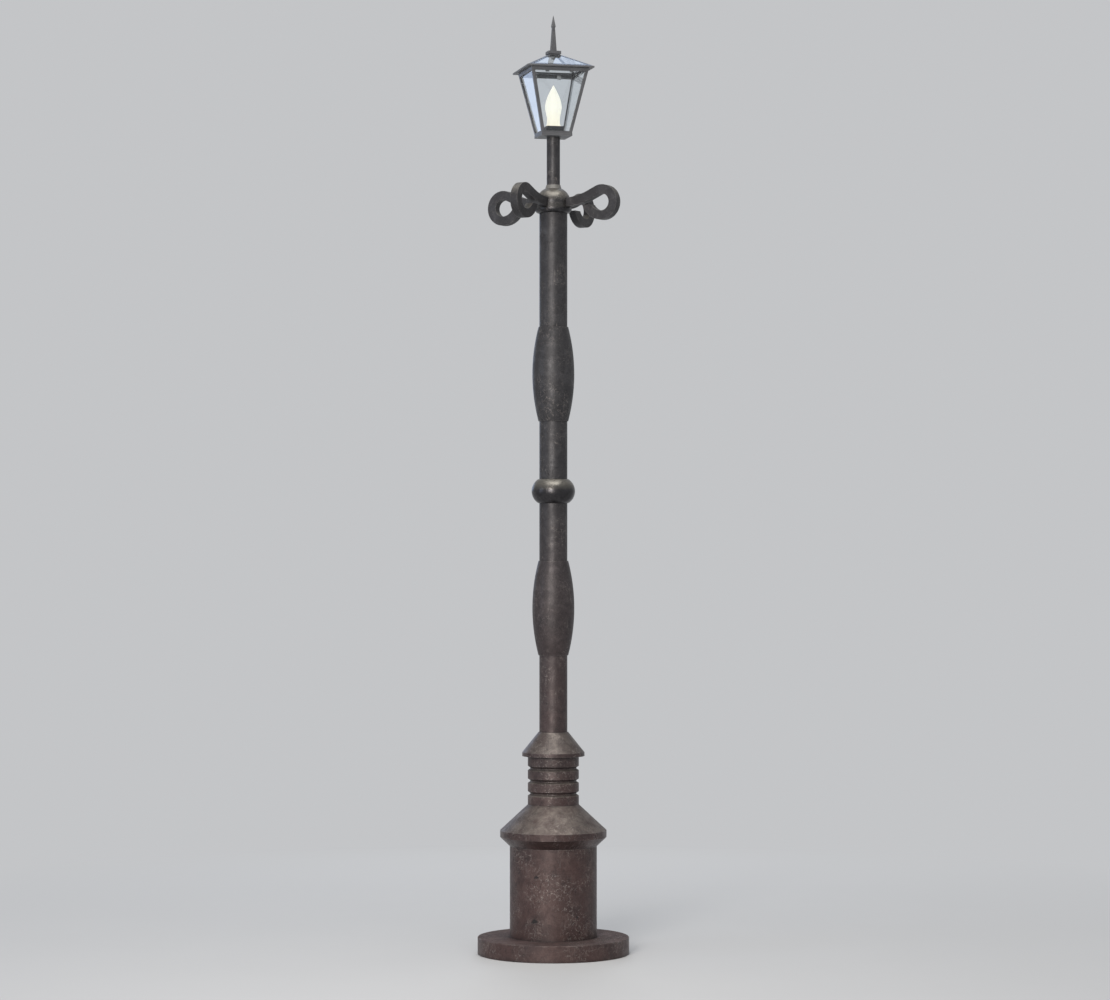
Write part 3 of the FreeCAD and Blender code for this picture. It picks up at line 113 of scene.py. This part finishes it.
def stretched(tree, where, scale, turn=(0.0, 0.0, 0.0)):
    links = {"Vector": where, "Scale": scale, "Rotation": turn}
    return put(tree, "ShaderNodeMapping", links).outputs[0]


def start(name):
    """New material, its node tree, its shader and the place on the object."""
    made = bpy.data.materials.new(name)
    made.use_nodes = True
    tree = made.node_tree
    where = put(tree, "ShaderNodeTexCoord").outputs["Object"]
    return made, tree, tree.nodes["Principled BSDF"], where


def dress(tree, shader, values):
    """Sets or links the shader's inputs by name."""
    for key, value in values.items():
        feed(tree, shader.inputs[key], value)


def bumped(tree, relief, strength, depth):
    links = {"Height": relief, "Strength": strength, "Distance": depth}
    return put(tree, "ShaderNodeBump", links).outputs[0]


# Edges by the cosine between a face and its rounded copy, and painted shade in inner corners by how
# open the sky is
MASK_SAMPLES = 4
EDGE_TURN = (0.995, 0.86)
SKY_REACH = 0.02
OPEN_SKY = (0.55, 0.8)
CLOSED_SKY = (0.85, 0.4)


def edges_and_corner_shade(tree, reach):
    """Masks of outer edges, and of the painted shade in inner corners."""
    rounded = put(tree, "ShaderNodeBevel", {"Radius": reach}, samples=MASK_SAMPLES).outputs[0]
    normal = put(tree, "ShaderNodeNewGeometry").outputs["Normal"]
    same = vector_calc(tree, "DOT_PRODUCT", {0: rounded, 1: normal}, "Value")
    links = {"Distance": SKY_REACH}
    sky = put(tree, "ShaderNodeAmbientOcclusion", links, samples=MASK_SAMPLES).outputs["AO"]
    edge = times(tree, span(tree, same, *EDGE_TURN), span(tree, sky, *OPEN_SKY))
    return edge, span(tree, sky, *CLOSED_SKY)


# Weathered iron

# Tones
IRON_BLACK = (0.010, 0.009, 0.010, 1.0)
IRON_DARK = (0.024, 0.023, 0.026, 1.0)
IRON_COOL = (0.034, 0.033, 0.036, 1.0)
IRON_COOL_PALE = (0.070, 0.068, 0.072, 1.0)
IRON_BROWN = (0.072, 0.043, 0.040, 1.0)
IRON_BROWN_PALE = (0.126, 0.085, 0.078, 1.0)
# Dust on upward slopes, pale enough to stand in as their painted highlight
IRON_DUST_AND_HIGHLIGHT = (0.230, 0.215, 0.185, 1.0)
IRON_VEIN = (0.270, 0.240, 0.225, 1.0)
IRON_RUBBED = (0.170, 0.160, 0.152, 1.0)

# Heights in metres over which brown passes into cool grey
BROWN_HEIGHT = (0.30, 1.70)

# Noises of the paint: waves a metre, detail, roughness, distortion
IRON_NOISE = {"broad": (5.0, 5.0, 0.6, 0.8), "patch": (24.0, 7.0, 0.66, 0.6),
              "blot": (55.0, 6.0, 0.7), "grain": (240.0, 4.0, 0.6)}

# Clouding: the noise values between which each comes in, and how much of it at most
BROAD_RANGE = (0.42, 0.66)
BROAD_MOST = 0.45
PATCH_RANGE = (0.46, 0.70)
PATCH_MOST = 0.65
BLOT_RANGE = (0.50, 0.32)
BLOT_MOST = 0.45
GRAIN_RANGE = (0.3, 0.7)
GRAIN_MOST = 0.45

# Dust, which also paints the highlight on upward slopes: the rise in slope to the full amount, the
# heights and patch values it comes in at, its unevenness
DUST_AND_HIGHLIGHT_RISE = 0.45
DUST_AND_HIGHLIGHT_HEIGHT = (0.10, 0.40)
DUST_AND_HIGHLIGHT_PATCH_RANGE = (0.30, 0.62)
DUST_AND_HIGHLIGHT_UNEVEN = 0.28

# Areas of wear: waves a metre, detail, and the noise values between which an area comes in
CRAZED = (8.0, 4.0, 0.46, 0.60)
UNBROKEN = (95.0, 3.0, 0.47, 0.57)
SPECKLED = (30.0, 4.0, 0.46, 0.64)
RUBBED = (13.0, 3.0, 0.54, 0.62)
PITTED = (9.0, 3.0, 0.55, 0.68)
CRACKED = (7.0, 3.0, 0.57, 0.66)
CRACKED_MOST = 0.6

# Webs: cells a metre, wander in metres, and the distances in cells between which a line comes in
VEIN_WEB = (64.0, 0.022)
VEIN_RANGE = (0.060, 0.020)
CRACK_WEB = (30.0, 0.03)
CRACK_RANGE = (0.030, 0.010)

# Dots and pits: cells a metre, and the distances in cells between which one comes in
DOTS_A_METRE = 260.0
DOT_RANGE = (0.19, 0.10)
PITS_A_METRE = 62.0
PIT_RANGE = (0.26, 0.10)

# Flakes: waves a metre, detail, roughness, distortion, and the noise values between which they come in
FLAKE_NOISE = (120.0, 5.0, 0.7, 0.4)
FLAKE_RANGE = (0.62, 0.68)

# Scratches: waves a metre along each axis, turn in radians, and half a line's width in noise values
SCRATCH_WAYS = (((70.0, 70.0, 5.0), (0.25, 0.1, 0.0)), ((16.0, 90.0, 40.0), (0.7, 0.4, 0.9)))
SCRATCH_NOISE = (1.0, 2.0)
SCRATCH_RANGE = (0.006, 0.002)

# Chips: how squat they are, and their cracks, raggedness and core in chip sizes
CHIP_SQUAT = (1.0, 1.0, 1.7)
CHIP_CRACKS_END = 3.4
CHIP_CRACKS_FULL = 1.2
CHIP_RAGGED = 4.0
CHIP_CORE = 0.6

# Rubbed edges: reach in metres, and the patch values between which an edge is rubbed
IRON_EDGE_REACH = 0.004
WORN_EDGE_RANGE = (0.36, 0.58)

# How much each mark colours the iron, and the share of the veins that is left high up
VEIN_MOST = 0.60
VEINS_HIGH_UP = 0.45
SPECKLE_MOST = 0.50
SCRATCH_MOST = 0.4
PIT_MOST = 0.85
EDGE_MOST = 0.5
# Painted shade: how far inner corners are darkened
CORNER_SHADE_MOST = 0.7

# Gloss: roughness of the patches, and what the grain, edges, sides and tops add to it or take from it
ROUGH_PATCH_RANGE = (0.3, 0.75)
ROUGH_PATCH = (0.54, 0.40)
ROUGH_GRAIN = 0.22
ROUGH_EDGE = 0.12
TOP_FACING = (0.55, 0.95)
ROUGH_SIDE = 0.16
ROUGH_TOP = 0.28
IRON_METALLIC = 0.3
SHEEN_METALLIC = 0.4
IRON_SPECULAR = 0.4
SHEEN_SPECULAR = 0.2

# Relief: share of each mark, then the bump's strength and its depth in metres
GRAIN_RELIEF = 0.35
PATCH_RELIEF = 0.5
PIT_RELIEF = 0.9
SCRATCH_RELIEF = 0.25
IRON_BUMP = (0.55, 0.0012)


def iron_tones(tree, low, pale, clouds, mottle):
    """Clouded paint, brown near the ground and cool grey higher up."""
    colour = blend(tree, low, IRON_COOL, IRON_BROWN)
    broad = span(tree, clouds["broad"], *BROAD_RANGE, 0.0, BROAD_MOST * mottle)
    colour = blend(tree, broad, colour, IRON_DARK)
    patch = span(tree, clouds["patch"], *PATCH_RANGE, 0.0, PATCH_MOST)
    colour = blend(tree, patch, colour, pale)
    blot = span(tree, clouds["blot"], *BLOT_RANGE, 0.0, BLOT_MOST * mottle)
    colour = blend(tree, blot, colour, IRON_BLACK)
    grain = span(tree, clouds["grain"], *GRAIN_RANGE, 0.0, GRAIN_MOST)
    return blend(tree, grain, colour, pale, "SOFT_LIGHT")


def slope_dust_and_highlight(tree, facing, height, patch, dust_and_highlight_from, dust_and_highlight_most):
    """Mask of dust on slopes that face up, which also stands in as their painted highlight; none near
    the ground.
    """
    dust = span(tree, facing, dust_and_highlight_from, dust_and_highlight_from + DUST_AND_HIGHLIGHT_RISE)
    dust = times(tree, dust, span(tree, height, *DUST_AND_HIGHLIGHT_HEIGHT))
    return times(tree, dust, span(tree, patch, *DUST_AND_HIGHLIGHT_PATCH_RANGE, dust_and_highlight_most - DUST_AND_HIGHLIGHT_UNEVEN, dust_and_highlight_most))


def pale_veins(tree, where, low):
    """Mask of the veins and flakes where the old coat has crazed, weaker high up."""
    crazed = area(tree, where, *CRAZED)
    veins = span(tree, web(tree, where, *VEIN_WEB), *VEIN_RANGE)
    veins = times(tree, times(tree, veins, area(tree, where, *UNBROKEN)), crazed)
    flakes = span(tree, noise(tree, where, *FLAKE_NOISE), *FLAKE_RANGE)
    veins = larger(tree, veins, times(tree, flakes, crazed))
    return times(tree, veins, span(tree, low, 0.0, 1.0, VEINS_HIGH_UP, 1.0))


def speckle(tree, where):
    """Mask of fine dots in patches."""
    dots = span(tree, cells(tree, where, DOTS_A_METRE), *DOT_RANGE)
    return times(tree, dots, area(tree, where, *SPECKLED))


def scratches(tree, where):
    """Mask of thin scratches in two directions."""
    rubbed = area(tree, where, *RUBBED)
    masks = []
    for scale, turn in SCRATCH_WAYS:
        lines = noise(tree, stretched(tree, where, scale, turn), *SCRATCH_NOISE)
        lines = calc(tree, "ABSOLUTE", calc(tree, "SUBTRACT", lines, MIDDLE))
        masks.append(times(tree, span(tree, lines, *SCRATCH_RANGE), rubbed))
    return larger(tree, *masks)


def pits_and_chips(tree, where, blot, chips):
    """Mask of the casting's pits and cracks, and of chips at the given places."""
    pits = span(tree, cells(tree, where, PITS_A_METRE), *PIT_RANGE)
    pits = times(tree, pits, area(tree, where, *PITTED))
    cracks = span(tree, web(tree, where, *CRACK_WEB), *CRACK_RANGE)
    cracked = area(tree, where, *CRACKED, most=CRACKED_MOST)
    flat = stretched(tree, where, CHIP_SQUAT)
    ragged = calc(tree, "SUBTRACT", blot, MIDDLE)
    for place, size in chips:
        centre = tuple(c * s for c, s in zip(place, CHIP_SQUAT))
        gap = vector_calc(tree, "DISTANCE", {0: flat, 1: centre}, "Value")
        around = span(tree, gap, size * CHIP_CRACKS_END, size * CHIP_CRACKS_FULL)
        cracked = larger(tree, cracked, around)
        gap = calc(tree, "ADD", gap, times(tree, ragged, size * CHIP_RAGGED))
        pits = larger(tree, pits, span(tree, gap, size, size * CHIP_CORE))
    return larger(tree, pits, times(tree, cracks, cracked))


def weathered_iron(name, mottle=1.0, chips=(), dust_and_highlight_from=0.25, dust_and_highlight_most=0.38, sheen=0.0):
    """Old dark paint on iron: crazed, chipped, brown with street grime low down, dusty on its slopes
    with a painted highlight there, and painted shade in its inner corners.

    mottle scales most marks, chips are places and sizes, dust_and_highlight_from is the upward slope
    where dust and painted highlight begin, dust_and_highlight_most is their largest share, and sheen
    is how polished the iron is.
    """
    made, tree, shader, where = start(name)
    height = height_of(tree, where)
    facing = height_of(tree, put(tree, "ShaderNodeNewGeometry").outputs["Normal"])
    clouds = {cloud: noise(tree, where, *look) for cloud, look in IRON_NOISE.items()}
    patch = clouds["patch"]
    grain = clouds["grain"]
    low = span(tree, height, *BROWN_HEIGHT, 1.0, 0.0)
    pale = blend(tree, low, IRON_COOL_PALE, IRON_BROWN_PALE)
    scratch = scratches(tree, where)
    pits = pits_and_chips(tree, where, clouds["blot"], chips)
    edge, corner_shade = edges_and_corner_shade(tree, IRON_EDGE_REACH)
    edge = times(tree, edge, span(tree, patch, *WORN_EDGE_RANGE))
    # Colour, with each mark laid over the ones before it
    colour = iron_tones(tree, low, pale, clouds, mottle)
    # Dust on upward slopes, which also paints their highlight
    dust = slope_dust_and_highlight(tree, facing, height, patch, dust_and_highlight_from, dust_and_highlight_most)
    colour = blend(tree, dust, colour, IRON_DUST_AND_HIGHLIGHT)
    # The last layer darkens inner corners as painted shade
    layers = ((pale_veins(tree, where, low), VEIN_MOST * mottle, IRON_VEIN),
              (speckle(tree, where), SPECKLE_MOST * mottle, IRON_VEIN),
              (scratch, SCRATCH_MOST * mottle, IRON_VEIN),
              (pits, PIT_MOST, IRON_BLACK),
              (edge, EDGE_MOST, IRON_RUBBED),
              (corner_shade, CORNER_SHADE_MOST, IRON_BLACK))
    for mask, most, tone in layers:
        colour = blend(tree, times(tree, mask, most), colour, tone)
    # Roughness
    grainy = times(tree, calc(tree, "SUBTRACT", grain, MIDDLE), ROUGH_GRAIN)
    by_slope = span(tree, facing, *TOP_FACING, -ROUGH_SIDE * sheen, ROUGH_TOP * (1.0 - sheen))
    rough = span(tree, patch, *ROUGH_PATCH_RANGE, *ROUGH_PATCH)
    rough = calc(tree, "ADD", rough, grainy, clamp=True)
    rough = calc(tree, "SUBTRACT", rough, times(tree, edge, ROUGH_EDGE), clamp=True)
    rough = calc(tree, "ADD", rough, by_slope, clamp=True)
    # Relief
    relief = calc(tree, "ADD", times(tree, grain, GRAIN_RELIEF), times(tree, patch, PATCH_RELIEF))
    relief = calc(tree, "SUBTRACT", relief, times(tree, pits, PIT_RELIEF))
    relief = calc(tree, "SUBTRACT", relief, times(tree, scratch, SCRATCH_RELIEF))
    dress(tree, shader, {"Base Color": colour, "Roughness": rough,
                         "Metallic": IRON_METALLIC + SHEEN_METALLIC * sheen,
                         "Specular IOR Level": IRON_SPECULAR + SHEEN_SPECULAR * sheen,
                         "Normal": bumped(tree, relief, *IRON_BUMP)})
    return made


# Even metals and mouldings

# Tones are factors on the base colour, and most is how much of a tone shows; the darker tone in inner
# corners is painted shade
CLOUD_RANGE = (0.35, 0.7)
CLOUD_ROUGH_RANGE = (0.3, 0.7)
ROUGH_LESS = 0.06
METAL_COAT = {"cloud": (30.0, 6.0, 0.6), "cloud_most": 0.5, "cloud_tone": 1.45,
              "edge_reach": 0.002, "edge_most": 0.5, "corner_shade_most": 0.45, "corner_shade_tone": 0.45,
              "rough_more": 0.12, "skin": (500.0, 3.0), "bump": (0.12, 0.0004)}
MOULDED_COAT = {"cloud": (25.0, 4.0), "cloud_most": 1.0, "cloud_tone": 1.18,
                "edge_reach": 0.0015, "edge_most": 0.25, "corner_shade_most": 0.4, "corner_shade_tone": 0.55,
                "rough_more": 0.08, "skin": (650.0, 3.0), "bump": (0.15, 0.0003)}
MOULDED_EDGE_TONE = 1.6
MOULDED_EDGE_LIFT = 0.03


def toned(colour, factor, lift=0.0):
    """The colour made lighter or darker by a factor, and lifted."""
    return tuple(min(1.0, c * factor + lift) for c in colour[:3]) + (1.0,)


def even_coat(name, coat, base, worn, metallic, rough):
    """Even surface with a fine skin, faint clouding, rubbed edges and painted shade in the inner
    corners.
    """
    made, tree, shader, where = start(name)
    cloud = noise(tree, where, *coat["cloud"])
    skin = noise(tree, where, *coat["skin"])
    edge, corner_shade = edges_and_corner_shade(tree, coat["edge_reach"])
    clouded = span(tree, cloud, *CLOUD_RANGE, 0.0, coat["cloud_most"])
    colour = blend(tree, clouded, base, toned(base, coat["cloud_tone"]))
    colour = blend(tree, times(tree, edge, coat["edge_most"]), colour, worn)
    # Inner corners darkened as painted shade
    corner_shade_amount = times(tree, corner_shade, coat["corner_shade_most"])
    colour = blend(tree, corner_shade_amount, colour, toned(base, coat["corner_shade_tone"]))
    gloss = span(tree, cloud, *CLOUD_ROUGH_RANGE, rough - ROUGH_LESS, rough + coat["rough_more"])
    dress(tree, shader, {"Base Color": colour, "Roughness": gloss, "Metallic": metallic,
                         "Normal": bumped(tree, skin, *coat["bump"])})
    return made


def smooth_metal(name, base, worn, metallic, rough):
    """Painted or plated metal."""
    return even_coat(name, METAL_COAT, base, worn, metallic, rough)


def moulded(name, base, rough):
    """Moulded plastic or ceramic."""
    worn = toned(base, MOULDED_EDGE_TONE, MOULDED_EDGE_LIFT)
    return even_coat(name, MOULDED_COAT, base, worn, metallic=0.0, rough=rough)


# Glass

# Noises are waves a metre, detail and roughness, and the glow's heights are in metres
GLASS_TINT = (0.93, 0.96, 0.98, 1.0)
GLASS_IOR = 1.48
GLASS_DUST_NOISE = (42.0, 6.0, 0.65)
GLASS_DUST_RANGE = (0.45, 0.8)
GLASS_DUST_ROUGH = 0.10
GLOW_LOW = (1.0, 0.93, 0.74, 1.0)
GLOW_HIGH = (1.0, 0.98, 0.86, 1.0)
GLOW_HEIGHT = (2.995, 3.06)
GLOW_STRENGTH = 0.90
FROST_DARK = (0.30, 0.29, 0.22, 1.0)
FROST_PALE = (0.36, 0.34, 0.27, 1.0)
FROST_NOISE = (160.0, 3.0)
FROST_RANGE = (0.3, 0.7)
FROST_ROUGH = (0.30, 0.42)


def clear_glass(name):
    """Flat window glass with faint patches of dust."""
    made, tree, shader, where = start(name)
    dust = span(tree, noise(tree, where, *GLASS_DUST_NOISE), *GLASS_DUST_RANGE)
    dress(tree, shader, {"Base Color": GLASS_TINT, "Transmission Weight": 1.0, "IOR": GLASS_IOR,
                         "Roughness": times(tree, dust, GLASS_DUST_ROUGH)})
    return made


def lit_glass(name):
    """Glowing frosted bulb, a little warmer low down."""
    made, tree, shader, where = start(name)
    glow = blend(tree, span(tree, height_of(tree, where), *GLOW_HEIGHT), GLOW_LOW, GLOW_HIGH)
    frost = noise(tree, where, *FROST_NOISE)
    colour = blend(tree, span(tree, frost, *FROST_RANGE), FROST_DARK, FROST_PALE)
    rough = span(tree, frost, *FROST_RANGE, *FROST_ROUGH)
    dress(tree, shader, {"Base Color": colour, "Roughness": rough,
                         "Emission Color": glow, "Emission Strength": GLOW_STRENGTH})
    return made


# Materials

# Chips of the pedestal that the photograph shows: place and size in metres
PEDESTAL_CHIPS = (((-0.0945, -0.126, 0.289), 0.010),
                  ((-0.0985, -0.123, 0.131), 0.013),
                  ((0.052, -0.1487, 0.145), 0.006))

# Irons: what differs from the plain weathered iron
IRONS = {
    "post_iron": {},
    "post_steel": {},
    "pedestal_iron": {"chips": PEDESTAL_CHIPS},
    "bracket_iron": {"mottle": 0.4},
    # Round parts and caps: the most dust and painted highlight on their upward slopes
    "round_iron": {"dust_and_highlight_from": 0.05, "dust_and_highlight_most": 0.60, "sheen": 1.0},
    "cap_iron": {"dust_and_highlight_most": 0.32, "sheen": 0.5},
}

# Even metals: colour, rubbed colour, metallic, roughness
METALS = {
    "lantern_metal": ((0.078, 0.080, 0.086, 1.0), (0.19, 0.19, 0.195, 1.0), 0.3, 0.42),
    "dark_sheet": ((0.022, 0.022, 0.024, 1.0), (0.10, 0.10, 0.10, 1.0), 0.3, 0.45),
    "plated_steel": ((0.42, 0.42, 0.41, 1.0), (0.62, 0.62, 0.60, 1.0), 0.9, 0.32),
    "lock_brass": ((0.40, 0.28, 0.10, 1.0), (0.62, 0.48, 0.22, 1.0), 0.9, 0.33),
    # The ferrule's pale tone is partly rubbed paint and partly a painted highlight on its upward slope
    "ferrule_steel_and_highlight": ((0.15, 0.146, 0.138, 1.0), (0.30, 0.29, 0.28, 1.0), 0.3, 0.40),
}

# Mouldings: colour, roughness
MOULDINGS = {
    "holder_ceramic": ((0.62, 0.59, 0.53, 1.0), 0.3),
    "board_plastic": ((0.24, 0.19, 0.13, 1.0), 0.55),
    "fuse_plastic": ((0.27, 0.28, 0.29, 1.0), 0.42),
    "carrier_plastic": ((0.035, 0.035, 0.037, 1.0), 0.4),
    "gland_plastic": ((0.045, 0.045, 0.045, 1.0), 0.45),
}

looks = {"clear_glass": clear_glass("clear_glass"), "lit_bulb": lit_glass("lit_bulb")}
looks.update({name: weathered_iron(name, **wear) for name, wear in IRONS.items()})
looks.update({name: smooth_metal(name, *values) for name, values in METALS.items()})
looks.update({name: moulded(name, *values) for name, values in MOULDINGS.items()})

# Nodes whose look differs from that of their slot
OWN_LOOK = {"pedestal": "pedestal_iron", "pedestal_cap": "cap_iron", "neck_cap": "cap_iron",
            "mid_ring": "round_iron", "bracket_collar": "round_iron", "tube_ferrule": "ferrule_steel_and_highlight"}
OWN_LOOK.update({name: "bracket_iron" for name in nodes if name.startswith("scroll_bracket")})


# CAD nodes: eased edges and smooth round faces

# Distances and widths in metres; EASE is by material slot
JOIN_WITHIN = 2e-6
SHARP_FROM = math.radians(22)
EASE_FROM = math.radians(32)
EASE_SEGMENTS = 2
EASE = {"post_iron": 0.0012, "post_steel": 0.0, "lantern_metal": 0.0007,
        "clear_glass": 0.0, "lit_bulb": 0.0, "plated_steel": 0.0003, "lock_brass": 0.0004}
EASE_OTHERS = 0.0005


def easing_group():
    """Geometry nodes that join the split faces, keep sharp edges sharp and shade the rest smooth."""
    group = bpy.data.node_groups.new("ease_shading", "GeometryNodeTree")
    group.interface.new_socket("Geometry", in_out="INPUT", socket_type="NodeSocketGeometry")
    group.interface.new_socket("Geometry", in_out="OUTPUT", socket_type="NodeSocketGeometry")
    enter = group.nodes.new("NodeGroupInput")
    leave = group.nodes.new("NodeGroupOutput")
    links = {"Geometry": enter.outputs[0], "Distance": JOIN_WITHIN}
    merged = put(group, "GeometryNodeMergeByDistance", links)
    links = {"Geometry": merged.outputs[0], "Shade Smooth": True}
    smooth = put(group, "GeometryNodeSetShadeSmooth", links)
    angle = put(group, "GeometryNodeInputMeshEdgeAngle").outputs["Unsigned Angle"]
    links = {0: angle, 1: SHARP_FROM}
    sharp = put(group, "FunctionNodeCompare", links, operation="GREATER_THAN").outputs[0]
    links = {"Geometry": smooth.outputs[0], "Selection": sharp, "Shade Smooth": False}
    keep = put(group, "GeometryNodeSetShadeSmooth", links, domain="EDGE")
    group.links.new(keep.outputs[0], leave.inputs[0])
    return group


ease_shading = easing_group()
slot_of = {part["node"]: part["material_slot"] for part in frame["record"]["subparts"]}
for name, node in nodes.items():
    slot = slot_of[name]
    node.data.materials.clear()
    node.data.materials.append(looks[OWN_LOOK.get(name, slot)])
    shade = node.modifiers.new("shade", "NODES")
    shade.node_group = ease_shading
    width = EASE.get(slot, EASE_OTHERS)
    if width:
        ease = node.modifiers.new("ease", "BEVEL")
        ease.width = width
        ease.segments = EASE_SEGMENTS
        ease.limit_method = "ANGLE"
        ease.angle_limit = EASE_FROM
        ease.harden_normals = True


# Floor and backdrop

# The floor's reach, drop and fade are in metres
FLOOR_CORNERS = ((-1, -1), (1, -1), (1, 1), (-1, 1))
BACKDROP = (0.55, 0.558, 0.572, 1.0)
SKY_LIGHT = (0.97, 0.98, 1.0, 1.0)
SKY_STRENGTH = 0.10
FLOOR_DARK = (0.535, 0.542, 0.554, 1.0)
FLOOR_PALE = (0.555, 0.562, 0.574, 1.0)
FLOOR_NOISE = (1.4, 3.0)
FLOOR_ROUGH = 0.85
FLOOR_REACH = 60.0
FLOOR_DROP = 0.0005
FLOOR_FADE = (0.9, 3.9)


def seen_directly(tree):
    """One for rays from the camera, off metal or through glass; zero for the rest."""
    ray = put(tree, "ShaderNodeLightPath").outputs
    shiny = larger(tree, ray["Is Glossy Ray"], ray["Is Transmission Ray"])
    return larger(tree, ray["Is Camera Ray"], shiny)


def flat_floor():
    mesh = bpy.data.meshes.new("floor")
    corners = [(x * FLOOR_REACH, y * FLOOR_REACH, 0.0) for x, y in FLOOR_CORNERS]
    mesh.from_pydata(corners, [], [(0, 1, 2, 3)])
    floor = bpy.data.objects.new("floor", mesh)
    floor.location.z = -FLOOR_DROP
    scene.collection.objects.link(floor)
    made, tree, shader, where = start("floor_paint")
    colour = blend(tree, noise(tree, where, *FLOOR_NOISE), FLOOR_DARK, FLOOR_PALE)
    dress(tree, shader, {"Base Color": colour, "Roughness": FLOOR_ROUGH, "Specular IOR Level": 0.0})
    # Away from the object the floor passes into the backdrop
    far = span(tree, vector_calc(tree, "LENGTH", {0: where}, "Value"), *FLOOR_FADE)
    far = times(tree, far, seen_directly(tree))
    plain = put(tree, "ShaderNodeEmission", {"Color": BACKDROP, "Strength": 1.0}).outputs[0]
    mixed = put(tree, "ShaderNodeMixShader", {0: far, 1: shader.outputs[0], 2: plain}).outputs[0]
    tree.links.new(mixed, tree.nodes["Material Output"].inputs["Surface"])
    mesh.materials.append(made)


def studio_world():
    """Shows the backdrop where the world is seen, and lights the rest faintly."""
    world = bpy.data.worlds.new("studio")
    scene.world = world
    world.use_nodes = True
    tree = world.node_tree
    shown = put(tree, "ShaderNodeBackground", {"Color": BACKDROP, "Strength": 1.0}).outputs[0]
    links = {"Color": SKY_LIGHT, "Strength": SKY_STRENGTH}
    unseen = put(tree, "ShaderNodeBackground", links).outputs[0]
    mixed = put(tree, "ShaderNodeMixShader", {0: seen_directly(tree), 1: unseen, 2: shown}).outputs[0]
    tree.links.new(mixed, tree.nodes["World Output"].inputs[0])


# Lamps and camera

# Place, height of the aim on the post's axis, size, watts, colour, and whether it shows in gloss
# The blue lamps behind the post show as the blue of the panes
LAMPS = {
    "key": ((-3.4, -6.4, 2.7), 1.5, (2.4, 3.6), 450.0, (1.0, 0.95, 0.90), True),
    "left": ((-6.8, -0.8, 2.4), 1.6, (2.4, 3.6), 45.0, (0.70, 0.82, 1.0), True),
    "overhead": ((-0.5, -1.6, 8.6), 1.4, (6.5, 6.5), 520.0, (1.0, 0.98, 0.94), True),
    "fill": ((5.0, -3.5, 3.0), 1.6, (3.0, 4.0), 10.0, (0.90, 0.95, 1.0), True),
    "left_back": ((-1.95, 6.9, 2.9), 3.0, (2.6, 2.0), 20.0, (0.40, 0.60, 1.0), True),
    "top_back": ((1.2, 4.6, 7.8), 2.6, (3.4, 3.4), 45.0, (0.42, 0.62, 1.0), True),
    "back": ((1.7, 6.8, 1.9), 1.5, (2.4, 3.0), 290.0, (0.96, 0.98, 1.0), False),
}


def facing_turn(place, aim):
    """Rotation that points a lamp or camera at the aim."""
    return (Vector(aim) - Vector(place)).to_track_quat("-Z", "Y").to_euler()


def soft_light(name, place, aim_height, size, power, colour, in_gloss):
    """Area lamp that can't be seen through the panes."""
    lamp = bpy.data.lights.new(name, "AREA")
    lamp.shape = "RECTANGLE"
    lamp.size = size[0]
    lamp.size_y = size[1]
    lamp.energy = power
    lamp.color = colour
    holder = bpy.data.objects.new(name, lamp)
    holder.location = place
    holder.rotation_euler = facing_turn(place, (0.0, 0.0, aim_height))
    holder.visible_glossy = in_gloss
    holder.visible_transmission = False
    scene.collection.objects.link(holder)


# The photograph's view: turn in degrees, places in metres, lens and film in millimetres
CAMERA_TURN = -13.75
CAMERA_AWAY = 11.18
CAMERA_HEIGHT = 1.495
CAMERA_LENS = 100.0
CAMERA_FILM = 36.0
AIM_HEIGHT = 1.640
AIM_RIGHT = 0.006


def photo_camera():
    turn = math.radians(CAMERA_TURN)
    back = Vector((math.sin(turn), -math.cos(turn), 0.0))
    right = Vector((math.cos(turn), math.sin(turn), 0.0))
    data = bpy.data.cameras.new("camera")
    data.lens = CAMERA_LENS
    data.sensor_width = CAMERA_FILM
    data.sensor_fit = "HORIZONTAL"
    camera = bpy.data.objects.new("camera", data)
    camera.location = back * CAMERA_AWAY + Vector((0.0, 0.0, CAMERA_HEIGHT))
    aim = right * AIM_RIGHT + Vector((0.0, 0.0, AIM_HEIGHT))
    camera.rotation_euler = facing_turn(camera.location, aim)
    scene.collection.objects.link(camera)
    scene.camera = camera


flat_floor()
for name, settings in LAMPS.items():
    soft_light(name, *settings)
studio_world()
photo_camera()
